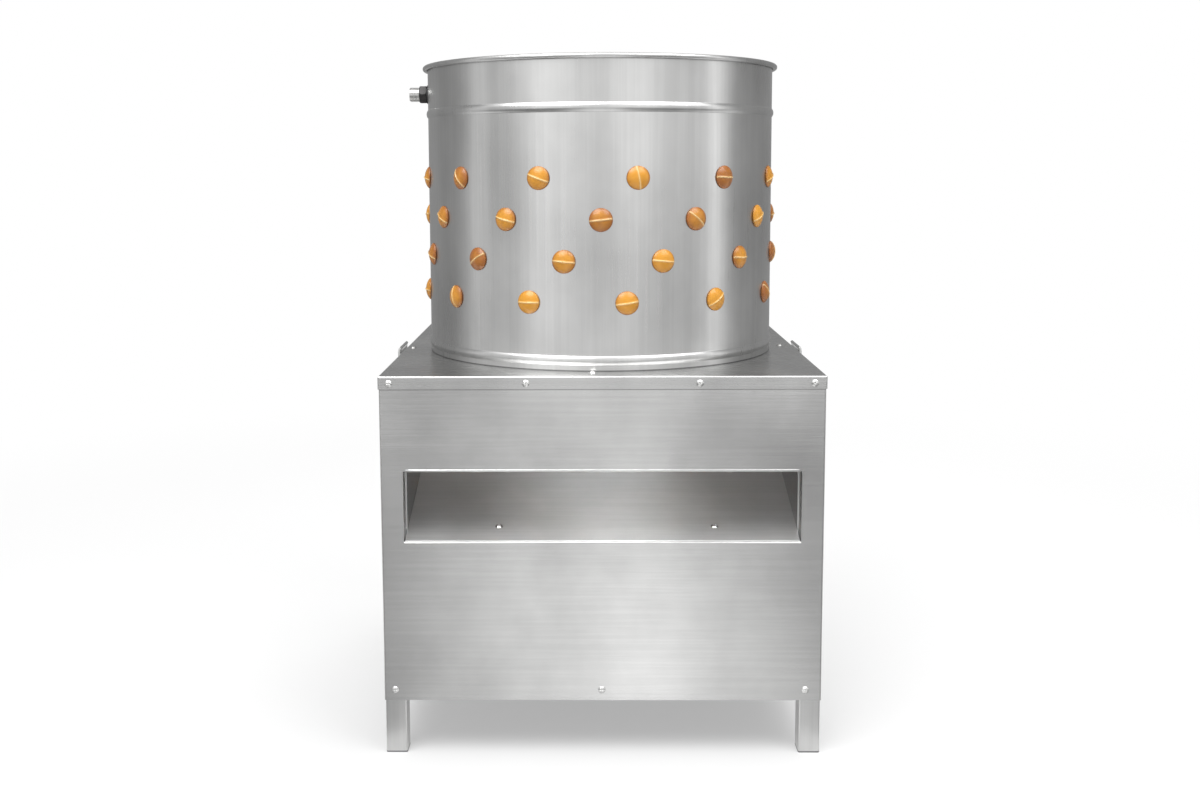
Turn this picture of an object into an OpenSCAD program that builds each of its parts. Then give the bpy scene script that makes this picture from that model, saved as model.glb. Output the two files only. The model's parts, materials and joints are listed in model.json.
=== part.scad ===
/* [Cabinet] */
// Room between the drum's seat ring and the tubes of the frame
frame_clear = 1.65; // [1:0.05:12]
// Thickness of the cabinet's stainless sheet
sheet = 1.2; // [0.8:0.1:1.5]
// Side of the square tube of legs and rails
tube = 28; // [26:0.5:28]
// Wall of the square tube
tube_wall = 2; // [1.5:0.1:3]
// Height of the panels' lower edge above the floor
floor_gap = 72; // [60:1:80]
// Depth of the cover's folded edge
cover_fold = 17; // [14:0.5:20]
// Outside radius of the sheet bends
bend_r = 2.5; // [2:0.1:3.5]
// Length of the panel returns that wrap the corners
panel_return = 16; // [12:1:24]

/* [Feather chute] */
// Height of the outlet slot's lower edge above the floor
slot_z = 285; // [275:1:288]
// Height of the outlet slot
slot_h = 92; // [70:1:100]
// Depth of the folds along the slot's upper and lower edges
slot_fold = 12; // [8:1:16]
// Slope of the chute floor in degrees
chute_slope = 17.5; // [15:0.5:18]
// Room between the rear end of the chute floor and the upper rail
chute_clear = 7.484; // [5:0.001:30]
// Width of the square bearers under the chute floor
bearer = 20; // [16:1:22]
// Bore of the collar that keeps water off the spindle
collar_d = 66; // [60:1:72]
// Height of that collar over the chute floor at the spindle
collar_h = 26; // [20:1:30]

/* [Drum] */
// Outside diameter of the drum
drum_d = 500; // [480:1:502]
// Height of the drum's rim above the cover
drum_h = 410; // [400:1:460]
// Thickness of the drum sheet
drum_wall = 1.5; // [1.2:0.1:2]
// Diameter of the rod along the rim
rim_d = 7; // [5:0.5:9]
// Height of a swaged bead
bead_h = 12; // [8:0.5:14]
// How far a bead stands out of the drum
bead_out = 2.3; // [1.5:0.1:3]
// Distance of the upper bead below the rim
upper_bead_drop = 68; // [60:1:80]
// Distance of the lower bead above the cover
lower_bead_rise = 14; // [10:1:20]
// Depth of the drum's foot inside the cover
drum_foot = 14; // [10:1:18]

/* [Plucking fingers] */
// Diameter of a finger's head
head_d = 31; // [28:0.5:32]
// Height of a finger's head
head_h = 7; // [5:0.5:9]
// Hole that a finger is pulled through
finger_hole_d = 20; // [18:0.5:21]
// Diameter of a finger where it leaves the sheet
finger_base_d = 27; // [25:0.5:28]
// Diameter of a finger at its tip
finger_tip_d = 17; // [14:0.5:20]
// Length of a finger beyond the sheet
finger_len = 80; // [70:1:80]
// Height of the bottom row of wall fingers above the cover
bottom_row_z = 89.3; // [88:0.1:100]
// Distance between the rows of wall fingers
row_pitch = 54; // [53:0.1:55]
// Number of fingers in each row
row_count = 12; // [8:1:14]
// Angle of the first finger of the top row from the front
first_angle = 10.9; // [0:0.1:20]
// Turn of each lower row against the one above
row_turn = 11.1; // [8:0.1:15]

/* [Feather plate] */
// Gap between the rotating plate and the drum
plate_gap = 22.5; // [18:0.5:26]
// Thickness of the plate
plate_t = 5; // [4:0.5:6]
// Depth of the plate's top face below the cover's top face
plate_drop = 13; // [12:0.5:16]
// Diameter of the hub's flange
hub_flange_d = 100; // [90:1:102]
// Diameter of the hub's boss
hub_boss_d = 56; // [48:1:60]
// Height of the hub under the plate
hub_h = 48; // [36:1:50]

/* [Drive] */
// Diameter of the spindle
spindle_d = 30; // [25:1:30]
// Outside diameter of the spindle bearings
bearing_d = 62; // [60:1:66]
// Width of the spindle bearings
bearing_w = 16; // [12:1:18]
// Room between the chute floor and the top of the bearing housing
housing_clear = 15.239; // [5:0.001:30]
// Outside diameter of the bearing housing
housing_d = 84; // [80:1:90]
// Height of the drive rails above the floor
drive_rail_z = 160; // [160:1:166]
// Thickness of the drive plate
drive_plate_t = 8; // [6:1:10]
// Outside diameter of the spindle pulley
pulley_d = 220; // [200:1:224]
// Outside diameter of the motor pulley
motor_pulley_d = 60; // [56:1:64]
// Room between the spindle pulley's rim and the drive rails
pulley_clear = 6; // [3:0.5:12]
// Width of the belt's back
belt_w = 13; // [12:0.5:14]
// Thickness of the belt
belt_t = 8; // [7:0.5:9]
// Distance from the spindle to the motor shaft
motor_y = 175; // [172:1:178]
// Diameter of the motor's face flange
motor_flange_d = 140; // [138:1:142]
// Room between the chute floor and the motor's fan cover
motor_clear = 27.588; // [10:0.001:40]
// Height of the fan cover
fan_cover_h = 46; // [42:1:48]
// Diameter of the motor shaft
motor_shaft_d = 19; // [16:1:20]

/* [Water] */
// Distance of the inlet below the rim
inlet_drop = 38; // [34:1:42]
// Thread diameter of the inlet nipple
nipple_d = 20.96; // [20:0.01:22]
// Reach of the nipple beyond the drum
nipple_out = 28; // [26:1:34]
// Width across the flats of the inlet nut
nut_af = 24; // [23:0.5:26]
// Diameter of the spray ring's tube
ring_tube_d = 12; // [10:0.5:13]
// Number of spray holes
spray_holes = 16; // [8:1:24]

/* [Handles] */
// Length of a side handle
handle_len = 77; // [70:1:110]
// Reach of a handle beyond the side panel
handle_out = 25; // [23:1:30]
// Thickness of the handle strap
handle_t = 4; // [3:0.5:4]
// Distance of the handles' middle behind the drum axis
handle_y = 96; // [0:1:110]
// Height of the handle's tip below the cover's top
handle_drop = 10; // [8:1:14]

/* [Control box] */
// Width of the recess
recess_w = 140; // [136:1:150]
// Height of the recess
recess_h = 96; // [90:1:100]
// Depth of the recess
recess_d = 21; // [20:1:24]
// Room between the flange of the recess and the leg
recess_side = 6.1; // [4:0.1:20]
// Height of the recess's middle above the floor
recess_z = 352; // [345:1:356]
// Depth of the switch enclosure
enclosure_d = 56; // [50:1:60]
// Distance between the buttons
button_pitch = 66; // [60:1:70]
// Travel of a button
button_travel = 4; // [3:0.5:4]

/* [Fasteners] */
// Shank diameter of the dome screws
screw_d = 5; // [4:0.5:5]
// Head diameter of the dome screws
screw_head_d = 9.5; // [9:0.1:10]
// Head height of the dome screws
screw_head_h = 2.6; // [2.2:0.1:3]
// Shank diameter of the hexagon bolts
bolt_d = 8; // [6:1:8]

/* [Hidden] */
$fn = 72;

// Clearances: a free passage, a close seat, a running gap and a weld seam
free_gap = 0.3;
seat_gap = 0.05;
run_gap = 0.3;
seam_gap = 0.2;
eps = 0.01;

// Cabinet faces, counted from the drum outwards
drum_r = drum_d / 2;
seat_r = drum_r + 0.15;
seat_t = 5.3;
tube_in = seat_r + seat_t + frame_clear;
frame_face = tube_in + tube;
panel_face = frame_face + sheet;
half = panel_face + sheet;
cab_w = 2 * half;
slot_half = tube_in - 0.1;

// Chute plane, and the cabinet's levels above it
chute_front = -panel_face + bend_r;
chute_end = frame_face - 1;
function chute_under(y) = slot_z + (y - chute_front) * tan(chute_slope);
function chute_over(y) = chute_under(y) + sheet / cos(chute_slope);
rail_top = chute_over(chute_end) + chute_clear + tube;
cab_h = rail_top + sheet;
panel_top = cab_h - bend_r - free_gap;
plug_t = 2;
leg_corner_r = 2.5;
wall_front = -tube_in - 3;
wall_top = rail_top - drum_foot - 0.8;
chute_half = tube_in - sheet - seam_gap;
collar_top = chute_over(0) + collar_h;

// Drum levels and radii
drum_in = drum_r - drum_wall;
drum_bottom = rail_top - drum_foot;
rim_top = cab_h + drum_h;
rim_axis_z = rim_top - rim_d / 2;
rim_axis_r = drum_r + rim_d / 2 + seat_gap;
seat_lip = 2;
seat_in = drum_r - 2.5;

// Finger places
head_r = head_d / 2;
head_rim = 2;
row_angles = [for (r = [0:3]) first_angle - r * row_turn];
row_levels = [for (r = [0:3]) cab_h + bottom_row_z + (3 - r) * row_pitch];
wall_neck = drum_wall + pow(finger_base_d / 2, 2) / (2 * drum_in) + 0.05;

// Feather plate
plate_top = cab_h - plate_drop;
plate_r = drum_in - plate_gap;
hub_top = plate_top - plate_t;
hub_flange_t = 8;
edge_ring_r = plate_r - head_r - 2.5;
inner_ring_r = 70;
ring_radii = [for (i = [0:3]) inner_ring_r + i * (edge_ring_r - inner_ring_r) / 3];
ring_counts = [6, 14, 18, 22];
hub_bolt_r = hub_flange_d / 2 - 12;
stud_d = 20;
stud_len = 22;

// Drive levels
drive_top = drive_rail_z + tube + drive_plate_t;
motor_bolt_r = motor_flange_d / 2 - 12.5;
motor_rail_gap = 3.92;
motor_rail_y = motor_y + motor_bolt_r * sin(45) + 0.94 * bolt_d + motor_rail_gap + tube / 2;
rail_y = [-75, 75, motor_rail_y];
rail_bolt_x = 90;
drive_plate_x = 105;
flange_t = 14;
housing_top = chute_under(-housing_d / 2) - housing_clear;
housing_h = housing_top - drive_top;
housing_bore = bearing_d / 2 - 4;
housing_flange_r = housing_d / 2 + 38;
housing_bolt_r = housing_flange_r - 15;
inner_race_r = spindle_d / 2 + 3.7;
seal_r = inner_race_r + run_gap;
shoulder_d = spindle_d + 8;
cap_z = collar_top - 8;
cap_h = 18;
cap_r = collar_d / 2 + 15;
pulley_w = 26;
belt_z = drive_rail_z - pulley_clear - pulley_w / 2;
spindle_foot = belt_z - 29;
pulley_r = pulley_d / 2;
motor_pulley_r = motor_pulley_d / 2;
belt_r = pulley_r - 0.5;
belt_small_r = motor_pulley_r - 0.5;
belt_side = 20;
belt_take_up = 12;
belt_angle = acos((belt_r - belt_small_r) / motor_y);
motor_core_r = 64;
fin_r = 68;
motor_flange_t = 10;
rotor_r = 41;
fan_cover_r = fin_r + 2;
motor_top = chute_under(motor_y - fan_cover_r) - motor_clear - fan_cover_h;
motor_h = motor_top - drive_top;
fan_wall = 1.5;
pad_x = fin_r + 4;
pad_w = 52;
pad_h = 66;
pad_z = drive_top + 76;

// Water inlet
inlet_z = rim_top - inlet_drop;
nipple_r = nipple_d / 2;
ring_r = drum_in - 6.5 - ring_tube_d / 2;
gasket_t = 2.5;
nut_t = 11;
thread_root_r = nipple_r - 0.4;
nut_face = drum_r + gasket_t + nut_t;
nipple_bore = 6;
spigot_r = nipple_r - 2;
socket_r = nipple_r + 2.5;
clip_angles = [45, 135, 225, 315];

// Control box
pan_flange = 12;
recess_x = tube_in - recess_w / 2 - pan_flange - recess_side;
pan_back = frame_face - recess_d;
button_r = 9.2;
bezel_r = 15;
bezel_h = 6;
barrel_r = 11;
stop_head_r = 19;
gland_r = 10;
gland_y = pan_back - enclosure_d + gland_r + 3;

// Screw places along each side, as seen from outside it
fold_screws = [-(half - 14), -97.5, 125, half - 16];
foot_screws = [-(half - 15.5), -1, half - 22.5];
side_screws = [-(half - 42), 0, half - 42];
fold_screw_z = cab_h - 9.6;
foot_screw_z = floor_gap + tube / 2;
cover_screws = [[-12, -(half - 26)], [half - 19.5, -2], [0, half - 26], [-(half - 10.5), -18]];
chute_screws = [-136, 148];
chute_screw_y = -tube_in + 5;
rear_screw_y = tube_in - 6;
shank_r = screw_d / 2;
handle_screws = [-24, 24];
pan_screw_x = recess_w / 2 + pan_flange / 2;
pan_screw_z = recess_h / 2 + pan_flange / 2;

// Handle section
handle_r = handle_out / 2;
handle_tip = cab_h - handle_drop;
handle_lip_r = 14;
handle_lip = 35;
handle_knee = handle_tip - handle_lip_r * sin(handle_lip);
handle_mid = handle_knee - 8;
handle_leg_top = cab_h - cover_fold - 1;
handle_screw_z = (handle_mid + handle_leg_top) / 2;

// Flat shapes
module rounded(w, h, r) {
    square([w - 2 * r, h], center = true);
    square([w, h - 2 * r], center = true);
    for (x = [-1, 1], y = [-1, 1]) translate([x * (w / 2 - r), y * (h / 2 - r)]) circle(r);
}

module cap_outline(r, h) {
    ball = (r * r + h * h) / (2 * h);
    intersection() {
        translate([0, h - ball]) circle(ball);
        square([r, h]);
    }
}

module tube_outline() {
    difference() {
        rounded(tube, tube, leg_corner_r);
        rounded(tube - 2 * tube_wall, tube - 2 * tube_wall, 0.5);
    }
}

module tube_x(len) {
    translate([-len / 2, 0, 0]) rotate([90, 0, 90]) linear_extrude(len) tube_outline();
}

module pipe(r_out, r_in, h) {
    difference() {
        cylinder(r = r_out, h = h);
        translate([0, 0, -1]) cylinder(r = r_in, h = h + 2);
    }
}

// Screws and bolts: the head stands on z = 0 and the shank points down
module dome_screw(len) {
    difference() {
        rotate_extrude() cap_outline(screw_head_d / 2, screw_head_h);
        translate([0, 0, 1]) cylinder(r = 1.7, h = screw_head_h, $fn = 6);
    }
    translate([0, 0, -len]) cylinder(r = shank_r - seat_gap, h = len + eps);
}

module hex_bolt(d, len) {
    cylinder(r = d * 0.94, h = d * 0.66, $fn = 6);
    translate([0, 0, -len]) cylinder(r = d / 2 - seat_gap, h = len + eps);
}

// Turns a screw whose head is at the front face to each of the four sides
module on_side(k) {
    rotate([0, 0, 90 * k]) children();
}

module facing_front(x, y, z) {
    translate([x, y, z]) rotate([90, 0, 0]) children();
}

module on_chute(x, y) {
    translate([x, y, chute_over(y)]) rotate([chute_slope, 0, 0]) children();
}

module body_screws() {
    for (k = [0:3]) on_side(k) {
        for (x = k % 2 == 0 ? fold_screws : side_screws)
            facing_front(x, -half, fold_screw_z) children(0);
        for (x = k % 2 == 0 ? foot_screws : side_screws)
            facing_front(x, -panel_face, foot_screw_z) children(0);
    }
}

module cover_places() {
    for (p = cover_screws) translate([p[0], p[1], cab_h]) children();
}

module chute_places() {
    for (x = chute_screws) {
        on_chute(x, chute_screw_y) children();
        on_chute(x, rear_screw_y) children();
    }
}

module handle_places() {
    for (s = [-1, 1], y = handle_screws)
        translate([s * (panel_face + handle_t), handle_y + y, handle_screw_z])
            rotate([0, s * 90, 0]) children();
}

module pan_places() {
    for (x = [-1, 1], z = [-1, 1])
        translate([-recess_x + x * pan_screw_x, panel_face, recess_z + z * pan_screw_z])
            rotate([-90, 0, 0]) children();
}

module screw_hole(len) {
    translate([0, 0, -len]) cylinder(r = shank_r, h = len + 4);
}

module body_holes() {
    body_screws() screw_hole(12);
}

// Frame
module leg(sx, sy) {
    color("silver") difference() {
        translate([sx * (frame_face - tube / 2), sy * (frame_face - tube / 2), plug_t])
            linear_extrude(rail_top - plug_t) tube_outline();
        body_holes();
    }
}

module foot_plugs() {
    color("dimgray") for (sx = [-1, 1], sy = [-1, 1])
        translate([sx * (frame_face - tube / 2), sy * (frame_face - tube / 2), 0]) {
            linear_extrude(plug_t) rounded(tube, tube, leg_corner_r);
            linear_extrude(plug_t + 14)
                rounded(tube - 2 * tube_wall - 0.2, tube - 2 * tube_wall - 0.2, 0.6);
        }
}

module rail_square(z) {
    for (k = [0:3]) on_side(k)
        translate([0, -(frame_face - tube / 2), z + tube / 2]) tube_x(2 * tube_in);
}

module upper_rails() {
    color("silver") difference() {
        rail_square(rail_top - tube);
        body_holes();
        cover_places() screw_hole(12);
        handle_places() screw_hole(14);
    }
}

module lower_rails() {
    color("silver") difference() {
        rail_square(floor_gap);
        body_holes();
    }
}

module side_rails() {
    color("silver") for (k = [1, 3]) on_side(k)
        translate([0, -(frame_face - tube / 2), drive_rail_z + tube / 2]) tube_x(2 * tube_in);
}

module rail_bolt_places() {
    for (y = rail_y, x = [-1, 1]) translate([x * rail_bolt_x, y, drive_top]) children();
}

module cross_rails() {
    color("silver") difference() {
        for (y = rail_y) translate([0, y, drive_rail_z + tube / 2]) tube_x(2 * tube_in);
        rail_bolt_places() translate([0, 0, -20]) cylinder(r = bolt_d / 2, h = 30);
    }
}

// Cabinet panels
module panel_plan() {
    difference() {
        rounded(2 * panel_face, 2 * panel_face, bend_r);
        rounded(2 * frame_face, 2 * frame_face, bend_r - sheet);
        translate([-half, -panel_face + panel_return]) square([cab_w, cab_w]);
    }
}

module panel_blank() {
    translate([0, 0, floor_gap]) linear_extrude(panel_top - floor_gap) panel_plan();
}

// A fold along X: the flat flange's inner side lies on z = 0 and the bend meets the front face
module slot_fold_strip() {
    rotate([90, 0, 90]) translate([0, 0, -slot_half]) linear_extrude(2 * slot_half) {
        translate([bend_r, -sheet]) square([slot_fold - bend_r, sheet]);
        intersection() {
            difference() {
                translate([bend_r, -bend_r]) circle(bend_r);
                translate([bend_r, -bend_r]) circle(bend_r - sheet);
            }
            translate([0, -bend_r]) square(bend_r + eps);
        }
    }
}

module front_panel() {
    color("lightgray") difference() {
        union() {
            difference() {
                panel_blank();
                translate([-slot_half, -half - 1, slot_z - bend_r])
                    cube([2 * slot_half, 10, slot_h + 2 * bend_r]);
            }
            translate([0, -panel_face, slot_z]) slot_fold_strip();
            translate([0, -panel_face, slot_z + slot_h]) mirror([0, 0, 1]) slot_fold_strip();
        }
        body_holes();
    }
}

module rear_panel() {
    vent_w = 84;
    vent_h = 7;
    color("lightgray") difference() {
        rotate([0, 0, 180]) panel_blank();
        translate([-recess_x, panel_face + 2, recess_z]) rotate([90, 0, 0])
            linear_extrude(6) rounded(recess_w, recess_h, 8);
        for (x = [-1, 1], i = [0:6])
            translate([x * 58, panel_face + 2, 168 + i * 20]) rotate([90, 0, 0])
                linear_extrude(6) rounded(vent_w, vent_h, vent_h / 2 - eps);
        body_holes();
        pan_places() screw_hole(12);
    }
}

module side_panel() {
    span = panel_face - panel_return - seam_gap;
    translate([-panel_face, -span, floor_gap]) cube([sheet, 2 * span, panel_top - floor_gap]);
}

module left_panel() {
    color("lightgray") difference() {
        side_panel();
        body_holes();
        handle_places() screw_hole(14);
    }
}

module right_panel() {
    color("lightgray") difference() {
        mirror([1, 0, 0]) side_panel();
        body_holes();
        handle_places() screw_hole(14);
    }
}

module cover_solid(face, top, r) {
    intersection() {
        translate([0, 0, cab_h - cover_fold - 1]) linear_extrude(cover_fold + 1)
            rounded(2 * face, 2 * face, r);
        rotate([90, 0, 0]) translate([0, top - 100, -half - 1]) linear_extrude(cab_w + 2)
            rounded(2 * face, 200, r);
        rotate([90, 0, 90]) translate([0, top - 100, -half - 1]) linear_extrude(cab_w + 2)
            rounded(2 * face, 200, r);
    }
}

module top_cover() {
    color("silver") difference() {
        cover_solid(half, cab_h, bend_r);
        cover_solid(panel_face, rail_top, bend_r - sheet);
        translate([-half, -half, cab_h - cover_fold - 2]) cube([cab_w, cab_w, 2]);
        translate([0, 0, cab_h - 10]) cylinder(r = drum_r + free_gap, h = 20);
        body_holes();
        cover_places() screw_hole(12);
    }
}

// Feather chute
module chute_sheet(half_w, y0, y1) {
    rotate([90, 0, 90]) translate([0, 0, -half_w]) linear_extrude(2 * half_w)
        polygon([[y0, chute_under(y0)], [y1, chute_under(y1)], [y1, chute_over(y1)],
            [y0, chute_over(y0)]]);
}

module chute_floor() {
    color("lightgray") difference() {
        chute_sheet(chute_half, chute_front, chute_end);
        for (s = [-1, 1]) translate([s * frame_face, frame_face, slot_z + cab_h / 2])
            cube([2 * (tube + seam_gap), 2 * (tube + seam_gap), cab_h], center = true);
        translate([0, 0, slot_z]) cylinder(r = collar_d / 2, h = cab_h - slot_z);
        chute_places() screw_hole(12);
    }
}

module chute_walls() {
    color("silver") for (s = [-1, 1])
        translate([s * (tube_in - sheet / 2), 0, 0]) rotate([90, 0, 90])
            translate([0, 0, -sheet / 2]) linear_extrude(sheet)
                polygon([[wall_front, chute_under(wall_front) + seam_gap],
                    [tube_in, chute_under(tube_in) + seam_gap], [tube_in, wall_top],
                    [-tube_in, wall_top], [-tube_in, rail_top - tube - seam_gap],
                    [wall_front, rail_top - tube - seam_gap]]);
}

module chute_bearers() {
    color("silver") difference() {
        for (y = [chute_screw_y, rear_screw_y])
            translate([0, y, chute_under(y)]) rotate([chute_slope, 0, 0])
                translate([-tube_in, -bearer / 2, -bearer]) difference() {
                    cube([2 * tube_in, bearer, bearer]);
                    translate([-1, 2, 2]) cube([2 * tube_in + 2, bearer - 4, bearer - 4]);
                }
        chute_places() screw_hole(12);
    }
}

module shaft_collar() {
    low = chute_over(-collar_d) - 20;
    color("silver") difference() {
        translate([0, 0, low]) pipe(collar_d / 2 + 2, collar_d / 2, collar_top - low);
        rotate([90, 0, 90]) translate([0, 0, -100]) linear_extrude(200)
            polygon([[-100, chute_over(-100)], [100, chute_over(100)], [100, 0], [-100, 0]]);
    }
}

// Drum
module bead_outline(z, inset) {
    ball = (pow(bead_h / 2, 2) + pow(bead_out, 2)) / (2 * bead_out);
    translate([drum_r + bead_out - ball, z]) circle(ball - inset);
}

module drum_shell() {
    upper = rim_top - upper_bead_drop;
    lower = cab_h + lower_bead_rise;
    color("silver") difference() {
        rotate_extrude() difference() {
            union() {
                translate([drum_in, drum_bottom]) square([drum_wall, rim_top - drum_bottom]);
                intersection() {
                    for (z = [upper, lower]) bead_outline(z, 0);
                    translate([drum_in, drum_bottom]) square([50, drum_h]);
                }
            }
            for (z = [upper, lower]) bead_outline(z, drum_wall);
        }
        for (r = [0:3], i = [0:row_count - 1])
            rotate([0, 0, row_angles[r] + i * 360 / row_count])
                translate([0, -drum_r + 5, row_levels[r]]) rotate([90, 0, 0])
                    cylinder(r = finger_hole_d / 2, h = 20);
        translate([-drum_r + 5, 0, inlet_z]) rotate([0, -90, 0])
            cylinder(r = nipple_r + free_gap, h = 20);
    }
}

module rim_ring() {
    color("gainsboro") translate([0, 0, rim_axis_z]) rotate_extrude()
        translate([rim_axis_r, 0]) circle(rim_d / 2);
}

module drum_seat_ring() {
    color("silver") rotate_extrude() {
        translate([seat_r, drum_bottom - seat_lip]) square([seat_t, drum_foot + seat_lip]);
        translate([seat_in, drum_bottom - seat_lip]) square([seat_r + seat_t - seat_in, seat_lip]);
    }
}

// One finger: its head stands on z = 0, its neck and shaft point down
module finger(neck) {
    tip_r = finger_tip_d / 2;
    base_r = finger_base_d / 2;
    low = -neck - finger_len;
    rotate_extrude($fn = 48) intersection() {
        union() {
            square([head_r, head_rim]);
            translate([0, head_rim - eps]) cap_outline(head_r, head_h - head_rim + eps);
            translate([0, -neck - 1]) square([finger_hole_d / 2 - seat_gap, neck + 2]);
            polygon([[0, -neck], [base_r, -neck], [base_r, -neck - 6], [base_r - 1.5, -neck - 8],
                [tip_r, low + tip_r], [0, low + tip_r]]);
            translate([0, low + tip_r]) circle(tip_r);
        }
        translate([0, -200]) square([100, 300]);
    }
}

module wall_row(r) {
    color("orange") for (i = [0:row_count - 1])
        rotate([0, 0, row_angles[r] + i * 360 / row_count])
            translate([0, -drum_r, row_levels[r]]) rotate([90, 0, 0]) finger(wall_neck);
}

module plate_ring(i) {
    color("orange") for (k = [0:ring_counts[i] - 1])
        rotate([0, 0, k * 360 / ring_counts[i] + i * 7])
            translate([ring_radii[i], 0, hub_top]) mirror([0, 0, 1]) finger(plate_t);
}

// Rotating plate and spindle
module hub_bolt_places() {
    for (a = [45:90:315]) rotate([0, 0, a]) translate([hub_bolt_r, 0, plate_top]) children();
}

module feather_plate() {
    color("silver") difference() {
        translate([0, 0, hub_top]) cylinder(r = plate_r, h = plate_t, $fn = 120);
        for (i = [0:3], k = [0:ring_counts[i] - 1])
            rotate([0, 0, k * 360 / ring_counts[i] + i * 7])
                translate([ring_radii[i], 0, hub_top - 1])
                    cylinder(r = finger_hole_d / 2, h = plate_t + 2);
        hub_bolt_places() translate([0, 0, -20]) cylinder(r = bolt_d / 2, h = 30);
        translate([0, 0, hub_top - 1]) cylinder(r = stud_d / 2 + seat_gap, h = plate_t + 2);
    }
}

module plate_hub() {
    color("gray") difference() {
        union() {
            translate([0, 0, hub_top - hub_flange_t])
                cylinder(r = hub_flange_d / 2, h = hub_flange_t);
            translate([0, 0, hub_top - hub_h]) cylinder(r = hub_boss_d / 2, h = hub_h);
        }
        translate([0, 0, hub_top - hub_h - 1])
            cylinder(r = spindle_d / 2 + seat_gap, h = hub_h + 2);
        hub_bolt_places() translate([0, 0, -20]) cylinder(r = bolt_d / 2, h = 30);
    }
}

module plate_bolts() {
    color("gainsboro") hub_bolt_places() hex_bolt(bolt_d, plate_t + hub_flange_t - 1);
}

module spindle_cap_nut() {
    nut_h = 16;
    color("gainsboro") translate([0, 0, plate_top]) difference() {
        union() {
            cylinder(r = stud_d * 0.95, h = 2);
            cylinder(r = stud_d * 0.87, h = nut_h, $fn = 6);
            translate([0, 0, nut_h - eps]) rotate_extrude() cap_outline(stud_d * 0.72, 9);
        }
        translate([0, 0, -1]) cylinder(r = stud_d / 2 + seat_gap, h = stud_len - plate_t + 2);
    }
}

module spindle() {
    color("gray") difference() {
        union() {
            translate([0, 0, spindle_foot]) cylinder(r = spindle_d / 2, h = hub_top - spindle_foot);
            translate([0, 0, housing_top + eps]) cylinder(r = shoulder_d / 2, h = 8);
            translate([0, 0, hub_top - eps]) cylinder(r = stud_d / 2, h = stud_len);
        }
        translate([0, 0, spindle_foot - 1]) cylinder(r = 3, h = 21);
    }
}

module splash_cap() {
    color("dimgray") difference() {
        translate([0, 0, cap_z]) cylinder(r = cap_r, h = cap_h);
        translate([0, 0, cap_z - 1]) cylinder(r = cap_r - 2, h = cap_h - 1);
        translate([0, 0, cap_z - 1]) cylinder(r = spindle_d / 2 + seat_gap, h = cap_h + 2);
    }
    color("dimgray") translate([0, 0, cap_z + cap_h])
        pipe(spindle_d / 2 + 6, spindle_d / 2 + seat_gap, 8);
}

// Bearings and housing
module bearing_places() {
    translate([0, 0, drive_top + 4]) children();
    translate([0, 0, housing_top - bearing_w]) children();
}

module housing_bolt_places() {
    for (a = [45:90:315]) rotate([0, 0, a])
        translate([housing_bolt_r, 0, drive_top + flange_t]) children();
}

module bearing_housing() {
    color("darkgray") difference() {
        union() {
            translate([0, 0, drive_top]) cylinder(r = housing_flange_r, h = flange_t);
            translate([0, 0, drive_top]) cylinder(r = housing_d / 2, h = housing_h);
        }
        translate([0, 0, drive_top - 1]) cylinder(r = housing_bore, h = housing_h + 2);
        translate([0, 0, drive_top - 1]) cylinder(r = bearing_d / 2, h = bearing_w + 5);
        translate([0, 0, housing_top - bearing_w]) cylinder(r = bearing_d / 2, h = bearing_w + 1);
        housing_bolt_places() translate([0, 0, -20]) cylinder(r = bolt_d / 2, h = 30);
    }
}

module bearing_outer_rings() {
    color("gainsboro") bearing_places() difference() {
        cylinder(r = bearing_d / 2 - 0.02, h = bearing_w);
        translate([0, 0, -1]) cylinder(r = seal_r, h = bearing_w + 2);
        translate([0, 0, 1]) cylinder(r = bearing_d / 2 - 4, h = bearing_w - 2);
    }
}

module bearing_inner_rings() {
    color("gainsboro") bearing_places() pipe(inner_race_r, spindle_d / 2 + 0.02, bearing_w);
}

module groove_ring(r) {
    grip = belt_w / 2 + run_gap + 0.1;
    deep = belt_t + 2;
    rotate_extrude() polygon([[r + 1, grip + tan(belt_side)], [r + 1, -grip - tan(belt_side)],
        [r - deep, -grip + deep * tan(belt_side)], [r - deep, grip - deep * tan(belt_side)]]);
}

module driven_pulley() {
    color("darkgray") translate([0, 0, belt_z]) difference() {
        union() {
            translate([0, 0, -pulley_w / 2]) cylinder(r = pulley_r, h = pulley_w);
            translate([0, 0, -21]) cylinder(r = 34, h = 38);
        }
        for (s = [-1, 1]) translate([0, 0, s * 14]) difference() {
            cylinder(r = pulley_r - 20, h = 20, center = true);
            cylinder(r = 34, h = 30, center = true);
        }
        for (a = [0:72:359]) rotate([0, 0, a]) translate([62, 0, -20]) cylinder(r = 18, h = 40);
        translate([0, 0, -30]) cylinder(r = spindle_d / 2 + seat_gap, h = 60);
        groove_ring(pulley_r);
    }
}

module motor_place() {
    translate([0, motor_y, 0]) children();
}

module motor_bolt_places() {
    motor_place() for (a = [45:90:315]) rotate([0, 0, a])
        translate([motor_bolt_r, 0, 0]) children();
}

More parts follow.
